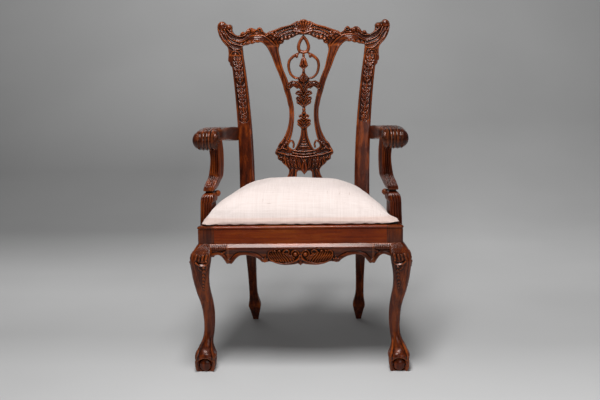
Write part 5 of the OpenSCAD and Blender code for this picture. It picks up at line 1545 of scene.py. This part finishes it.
def cloth_edge(p):
    """Brings the cloth's lower edge straight down over the seat's frame, clear of the arm supports."""
    over, front = 4.5, SEAT_FRONT - 4.5
    # the lower edge stands a little over the lip
    w = smoothstep(np.clip((470 - p[:, 2]) / 20, 0, 1))
    half = side_x(p[:, 1]) - INSET
    p[:, 0] *= 1 + w * over / half
    p[:, 1] = SEAT_MID + (p[:, 1] - SEAT_MID) * (1 + w * over / SEAT_HALF)
    edge = np.minimum(p[:, 1] - front, half + over - np.abs(p[:, 0]))
    p[:, 2] -= 6.4 * np.clip((10 - edge) / 6, 0, 1) * np.clip((464 - p[:, 2]) / 16, 0, 1)
    # the cloth comes down straight at the front, and over square corners
    low = np.clip((457 - p[:, 2]) / 8, 0, 1)
    corner = np.clip((np.abs(p[:, 0]) - 232) / 24, 0, 1) * np.clip((75 - p[:, 1]) / 20, 0, 1)
    ahead, beside = p[:, 1] - front, side_x(p[:, 1]) - INSET + over - np.abs(p[:, 0])
    reach = 8 + 12 * corner
    p[:, 1] -= ahead * np.clip(2 * (1 - ahead / reach), 0, 1) * low * (p[:, 1] < 40)
    p[:, 0] += np.sign(p[:, 0]) * beside * np.clip(2 * (1 - beside / reach), 0, 1) * low * corner
    p[:, 2] -= corner * np.where(p[:, 0] < 0, 6.5, 2.9) * np.clip((460 - p[:, 2]) / 9, 0, 1)
    wall = side_x(p[:, 1]) - INSET + 4.2
    corner = np.clip((np.abs(p[:, 0]) - 232) / 30, 0, 1) * np.clip((58 - p[:, 1]) / 25, 0, 1)
    p[:, 0] = np.sign(p[:, 0]) * np.minimum(np.abs(p[:, 0]) + 8 * corner, np.maximum(wall, np.abs(p[:, 0])))
    p[:, 2] = np.maximum(p[:, 2], 441.4)
    p[:, 0] = support_room(*p.T)
    p[:, 1] = np.clip(p[:, 1], front, 448.2)
    return p


def cushion():
    """Linen cover over its stuffing."""
    made = cushion_start()
    p, out = cloth_marks(get_points(made.data) * 1000 + (0, FRONT_Y, 0))
    p = cloth_edge(p + get_normals(made.data) * out[:, None])
    made.data.vertices.foreach_set("co", ((p - (0, FRONT_Y, 0)) * 0.001).ravel())
    made.data.polygons.foreach_set("use_smooth", np.ones(len(made.data.polygons), bool))
    made.data.materials.clear()
    made.data.materials.append(linen("linen_cover"))
    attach(made, "drop_in_seat")
    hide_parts("seat_cover")
    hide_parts("seat_padding")


def seat_outline(inset):
    """Plan of the drop-in seat, drawn in by inset mm, cut round the arm supports."""
    y0, y1 = SEAT_FRONT + inset, SEAT_REAR - inset
    at = lambda y: float(side_x(y)) - INSET - inset * SIDE_K
    room = 1.5 + inset
    low, high = SUPPORT_FRONT - room, SUPPORT_REAR + room
    right = [(at(y0) - 3, y0), (at(y0) - 0.9, y0 + 0.9), (at(y0 + 3), y0 + 3), (at(low - 4), low - 4),
             (at(low) - 0.5, low - 1), (at(low) - 1, low), (support_wall(low, room), low),
             (support_wall(high, room), high), (at(high) - 1, high), (at(high) - 0.5, high + 1),
             (at(y1 - 3), y1 - 3), (at(y1) - 0.9, y1 - 0.9), (at(y1) - 3, y1)]
    return np.array(right + [(-x, y) for x, y in right[::-1]])


def seat_binding():
    """Cloth that binds the wooden frame's edge and turns in under it, made dark as painted shade in the gap
    under the cushion's edge.
    """
    section = [(5, 444.6), (1.6, 444.9), (0.9, 444.9), (0.4, 444.5), (0.4, 428), (0.7, 427.0), (1.6, 426.4),
               (4.6, 426.4), (4.6, 426.9), (1.7, 426.9), (1.1, 427.6), (1.1, 444.2), (5, 444.2)]
    lines = [(divided(seat_outline(inset), 8), z) for inset, z in section]
    rings = np.stack([np.column_stack([line, np.full(len(line), z)]) for line, z in lines])
    m, n = rings.shape[:2]
    faces = tube_faces(m, n, caps=False)
    faces += [[(m - 1) * n + j, (m - 1) * n + (j + 1) % n, (j + 1) % n, j] for j in range(n)]
    finish_piece("seat_frame_binding", rings.reshape(-1, 3), faces, BINDING_PAINTED_SHADE, None, "drop_in_seat",
                 "dust_cloth", sharp=60)


WEB_COLUMNS, WEB_ROWS = [-140, -70, 0, 70, 140], [120, 195, 270, 345]
WEB_WIDTH = 48
WEB_SECTION = [(-1, 0), (-0.5, 0), (0, 0), (0.5, 0), (1, 0), (1, 1), (0.5, 1), (0, 1), (-0.5, 1), (-1, 1)]


def web_strip(start, end, over):
    """Rings of a strip that passes over and under the others; over is 1 or -1 at the first crossing."""
    (x0, y0), (x1, y1) = start, end
    length = math.hypot(x1 - x0, y1 - y0)
    dx, dy = (x1 - x0) / length, (y1 - y0) / length
    rings = []
    for s in np.linspace(0, 1, 90):
        x, y = x0 + s * (x1 - x0), y0 + s * (y1 - y0)
        column, row = (x - WEB_COLUMNS[0]) / 70, (y - WEB_ROWS[0]) / 75
        z = 445.55 + 0.5 * over * math.cos(math.pi * column) * math.cos(math.pi * row) + 0.5
        rings.append([(x - dy * u * WEB_WIDTH / 2, y + dx * u * WEB_WIDTH / 2, z + 0.9 * v)
                      for u, v in WEB_SECTION])
    return np.array(rings)


def webbing():
    """Jute strips, those across passing over and under those that run front to back."""
    strips = [web_strip((x, 37), (x, 420), 1) for x in WEB_COLUMNS]
    for y in WEB_ROWS:
        reach = float(side_x(y + 25)) - INSET - 1.7 - WEB_WIDTH / 2
        strips.append(web_strip((-reach, y), (reach, y), -1))
    finish_piece("seat_webbing_woven", *tubes(*strips), JUTE, "seat_webbing", "drop_in_seat", "jute_webbing",
                 sharp=60)


def dust_cover():
    """Thin cloth stretched under the seat, with a slight sag and a puckered edge."""
    outline = seat_outline(4.7)
    count = 240
    edge = even_ring(divided(outline, 12), count)
    centre = np.array([0, SEAT_MID])
    rings = []
    for f in np.linspace(1.0, 0.03, 34):
        pucker = 0.10 * np.sin(np.arange(count) * math.pi / 6) * math.exp(-((f - 0.95) / 0.04) ** 2)
        sag = 0.9 * min(1.0, (1 - f) * 1.6) if f < 0.9 else 0
        rings.append(np.column_stack([centre + (edge - centre) * f, 426.42 - sag + pucker]))
    under = np.stack(rings)
    over = under[::-1] + (0, 0, 0.35)
    made = finish_piece("seat_dust_cover_cloth", *tubes(np.concatenate([under[::-1], over[::-1]])),
                        DUST_CLOTH, "seat_dust_cover", "drop_in_seat", "dust_cloth", sharp=60)


# ---------- other materials ----------

def linen(name):
    """Undyed linen: a plain weave, and uneven thicker threads both ways."""
    n = Nodes(name)
    warp = n.noise((260, 9, 9), 3, 0.65)
    weft = n.noise((9, 260, 260), 3, 0.65)
    slub = n.noise((18, 420, 420), 2, 0.6)
    slub_up = n.noise((420, 18, 18), 2, 0.6)
    cloud = n.noise((9, 9, 9), 4, 0.6)
    threads = n.math("ADD", warp, weft)
    tones = [(0.36, srgb(233, 217, 211)), (0.5, srgb(240, 225, 219)), (0.62, srgb(245, 231, 226))]
    colour = n.ramp(n.math("MULTIPLY", threads, 0.5), tones)
    streak = n.math("MINIMUM", slub, slub_up)
    colour = n.mix("MULTIPLY", 1.0, colour, n.ramp(streak, [(0.22, srgb(206, 188, 178)), (0.3, (1, 1, 1))]))
    colour = n.mix("MULTIPLY", 1.0, colour, n.grey(cloud, [(0.3, 0.95), (0.7, 1.0)]))
    # painted shade: the cloth is a little darker and pinker low down, round the frame's edge, where its
    # upright band gets less of the overhead light
    height = n.node("ShaderNodeSeparateXYZ")
    n.link(n.place((1, 1, 1)), height.inputs[0])
    low = n.ramp(height.outputs["Z"], [(0.457, srgb(239, 227, 222)), (0.462, (1, 1, 1))])
    colour = n.mix("MULTIPLY", 1.0, colour, low)
    n.link(colour, n.shader.inputs["Base Color"])
    n.shader.inputs["Roughness"].default_value = 0.85
    n.shader.inputs["Sheen Weight"].default_value = 0.15
    n.shader.inputs["Sheen Roughness"].default_value = 0.5
    fine = n.math("ADD", n.noise((900, 40, 40), 1, 0.5), n.noise((40, 900, 900), 1, 0.5))
    first = n.bump(n.math("ADD", threads, streak), 0.0006, 0.7)
    n.link(n.bump(fine, 0.0003, 0.6, first), n.shader.inputs["Normal"])
    return n.material


def beech():
    """Plain pale wood for the parts inside the seat."""
    n = Nodes("beech")
    figure = n.noise((40, 14, 60), 5, 0.6, 0.5)
    flecks = n.noise((300, 60, 300), 2, 0.5)
    colour = n.ramp(figure, [(0.35, srgb(150, 108, 68)), (0.5, srgb(182, 140, 94)),
                             (0.68, srgb(200, 162, 116))])
    colour = n.mix("MULTIPLY", 0.5, colour, n.grey(flecks, [(0.34, 0.7), (0.46, 1.0)]))
    n.link(colour, n.shader.inputs["Base Color"])
    n.link(n.grey(figure, [(0.3, 0.5), (0.7, 0.68)]), n.shader.inputs["Roughness"])
    n.link(n.bump(flecks, 0.0003, 0.5), n.shader.inputs["Normal"])
    return n.material


def steel():
    """Old screws and tacks: grey steel with brown spots."""
    n = Nodes("screw_steel")
    spots = n.noise((400, 400, 400), 4, 0.65)
    n.link(n.ramp(spots, [(0.38, srgb(84, 62, 46)), (0.52, srgb(122, 118, 112)), (0.7, srgb(158, 156, 152))]),
           n.shader.inputs["Base Color"])
    n.shader.inputs["Metallic"].default_value = 0.85
    n.link(n.grey(spots, [(0.35, 0.62), (0.65, 0.32)]), n.shader.inputs["Roughness"])
    n.link(n.bump(spots, 0.0001, 0.5), n.shader.inputs["Normal"])
    return n.material


def woven(name, dark, light):
    """Plain weave cloth between a dark and a light tone."""
    n = Nodes(name)
    waves = [n.node("ShaderNodeTexWave", wave_type="BANDS", bands_direction=way) for way in ("X", "Y")]
    where = n.place((1, 1, 1))
    for wave in waves:
        wave.inputs["Scale"].default_value = 150
        wave.inputs["Distortion"].default_value = 1.2
        n.link(where, wave.inputs["Vector"])
    weave = n.math("MULTIPLY", n.math("ADD", *(wave.outputs["Fac"] for wave in waves)), 0.5)
    fuzz = n.noise((60, 60, 60), 5, 0.6)
    mixed = n.math("ADD", n.math("MULTIPLY", weave, 0.5), n.math("MULTIPLY", fuzz, 0.5))
    n.link(n.ramp(mixed, [(0.25, srgb(*dark)), (0.7, srgb(*light))]), n.shader.inputs["Base Color"])
    n.shader.inputs["Roughness"].default_value = 0.9
    n.link(n.bump(weave, 0.0004, 0.7), n.shader.inputs["Normal"])
    return n.material


# ---------- backdrop and light ----------

# painted light and shade on the paper, from the near floor up to the wall's top, at its left and its right:
# its brighter and darker bands stand in for how the light falls on it
BACKDROP_LIGHT_LEFT = [(0, 0.38), (0.19, 0.5), (0.22, 0.59), (0.25, 0.59), (0.28, 0.5), (0.33, 0.62), (0.36, 0.58),
                 (0.44, 0.32), (0.54, 0.26), (0.66, 0.36), (0.74, 0.415)]
BACKDROP_LIGHT_RIGHT = [(0, 0.38), (0.19, 0.5), (0.22, 0.67), (0.27, 0.56), (0.34, 0.66), (0.41, 0.63),
                  (0.52, 0.44), (0.6, 0.36)]


def backdrop():
    """Floor that sweeps up into a wall; its tone changes with depth and from left to right, painted light and
    shade that stand in for how the light falls on it.
    """
    line = [(-18.0, 0.0), (-7.0, 0.0), (-3.0, 0.0), (-1.0, 0.0), (0.6, 0.0), (1.6, 0.0)]
    bend = 2.6
    line += [(1.8 + bend * math.sin(math.radians(a)), bend - bend * math.cos(math.radians(a)))
             for a in range(4, 91, 4)]
    line += [(4.4, 3.2), (4.4, 5.2)]
    columns = np.linspace(-18, 18, 37)
    points = [(float(x), y, z) for y, z in line for x in columns]
    wide = len(columns)
    faces = [(i * wide + j, i * wide + j + 1, (i + 1) * wide + j + 1, (i + 1) * wide + j)
             for i in range(len(line) - 1) for j in range(wide - 1)]
    mesh = bpy.data.meshes.new("backdrop")
    mesh.from_pydata(points, [], faces)
    mesh.polygons.foreach_set("use_smooth", np.ones(len(mesh.polygons), bool))
    made = placed("backdrop", mesh)
    n = Nodes("backdrop_paper_painted_light")
    coords = n.node("ShaderNodeTexCoord")
    split = n.node("ShaderNodeSeparateXYZ")
    n.link(coords.outputs["Object"], split.inputs["Vector"])
    depth = n.math("ADD", split.outputs["Y"], split.outputs["Z"])
    share = n.math("DIVIDE", n.math("ADD", depth, 3.0), 11.0)
    # painted light and shade, blended from the paper's left to its right
    left = n.grey(share, BACKDROP_LIGHT_LEFT)
    right = n.grey(share, BACKDROP_LIGHT_RIGHT)
    across = n.grey(n.math("ADD", n.math("MULTIPLY", split.outputs["X"], 0.5), 0.5), [(0.1, 0.0), (0.9, 1.0)])
    tone = n.mix("MIX", across, left, right)
    mottle = n.grey(n.noise((0.8, 0.8, 0.8), 3, 0.5), [(0.3, 0.94), (0.7, 1.05)])
    n.link(n.mix("MULTIPLY", 1.0, tone, mottle), n.shader.inputs["Base Color"])
    n.shader.inputs["Roughness"].default_value = 0.9
    n.shader.inputs["Specular IOR Level"].default_value = 0.1
    mesh.materials.append(n.material)


def lamp(name, place, aim, size, power):
    """Soft box at place, turned towards aim."""
    data = bpy.data.lights.new(name, "AREA")
    data.shape = "RECTANGLE"
    data.size, data.size_y = size
    data.energy = power
    made = placed(name, data)
    made.location = place
    made.rotation_euler = (Vector(aim) - Vector(place)).to_track_quat("-Z", "Y").to_euler()


def lights():
    """Faint even light all round, and four soft boxes."""
    world = bpy.data.worlds.new("studio")
    world.use_nodes = True
    tree = world.node_tree
    ambient = tree.nodes["Background"]
    ambient.inputs["Color"].default_value = (1, 1, 1, 1)
    ambient.inputs["Strength"].default_value = 0.12
    # beyond the floor the room shows as plain grey
    seen = tree.nodes.new("ShaderNodeBackground")
    seen.inputs["Color"].default_value = (1, 1, 1, 1)
    seen.inputs["Strength"].default_value = 0.13
    path = tree.nodes.new("ShaderNodeLightPath")
    mix = tree.nodes.new("ShaderNodeMixShader")
    tree.links.new(path.outputs["Is Camera Ray"], mix.inputs[0])
    tree.links.new(ambient.outputs[0], mix.inputs[1])
    tree.links.new(seen.outputs[0], mix.inputs[2])
    tree.links.new(mix.outputs[0], tree.nodes["World Output"].inputs["Surface"])
    bpy.context.scene.world = world
    lamp("overhead", (-0.15, -1.3, 3.1), (0, -0.15, 0.5), (0.9, 1.6), 86)
    lamp("front", (1.1, -3.6, 1.5), (0, 0, 0.55), (1.6, 1.2), 12)
    lamp("rear", (-1.3, 2.6, 2.4), (0, 0.2, 0.6), (2.0, 1.6), 7)
    lamp("wall", (0.0, 1.7, 3.2), (0.2, 4.4, 2.25), (2.4, 0.8), 60)
    bpy.context.scene.view_settings.view_transform = "Standard"


# ---------- the chair ----------

make_camera()
lights()
backdrop()

WOOD = {"x": mahogany("mahogany_x", "x"),
        "y": mahogany("mahogany_y", "y", (18, 5, 2), (64, 22, 7), (118, 52, 18)),
        "z": mahogany("mahogany_z", "z"),
        "x_plain": mahogany("mahogany_front_rail", "x", (94, 25, 0), (130, 46, 2), (160, 74, 10))}
DUST_CLOTH = woven("dust_cloth", (20, 20, 20), (44, 43, 42))
# the binding is a dark brown cloth, painted shade in the gap under the cushion's edge
BINDING_PAINTED_SHADE = woven("seat_binding_painted_shade", (20, 11, 8), (44, 26, 18))
JUTE = woven("jute_webbing", (120, 92, 56), (184, 152, 104))

posts = stile_carving()
knee = knee_carving()
for side in (-1, 1):
    rear_post(side, posts)
    front_leg(side, knee)
    side_rail(side)
    side_apron(side)
    knee_brackets(side)
    arm(side)
    arm_support(side)
crest_rail()
splat()
splat_shoe()
front_rail()
front_apron()
cushion()
seat_binding()
webbing()
dust_cover()

PALE = beech()
STEEL = steel()
KEPT = {"back_seat_rail": WOOD["x_plain"], "apron_dowels": PALE, "arm_pegs": PALE,
        "corner_block_screws": STEEL, "arm_support_screws": STEEL, "webbing_tacks": STEEL}
for end in ("front", "back", "left", "right"):
    KEPT[f"seat_frame_{end}"] = PALE
for end in ("front_left", "front_right", "rear_left", "rear_right"):
    KEPT[f"{end}_corner_block"] = PALE
for node, material in KEPT.items():
    for place in bpy.data.objects[node].material_slots:
        place.material = material
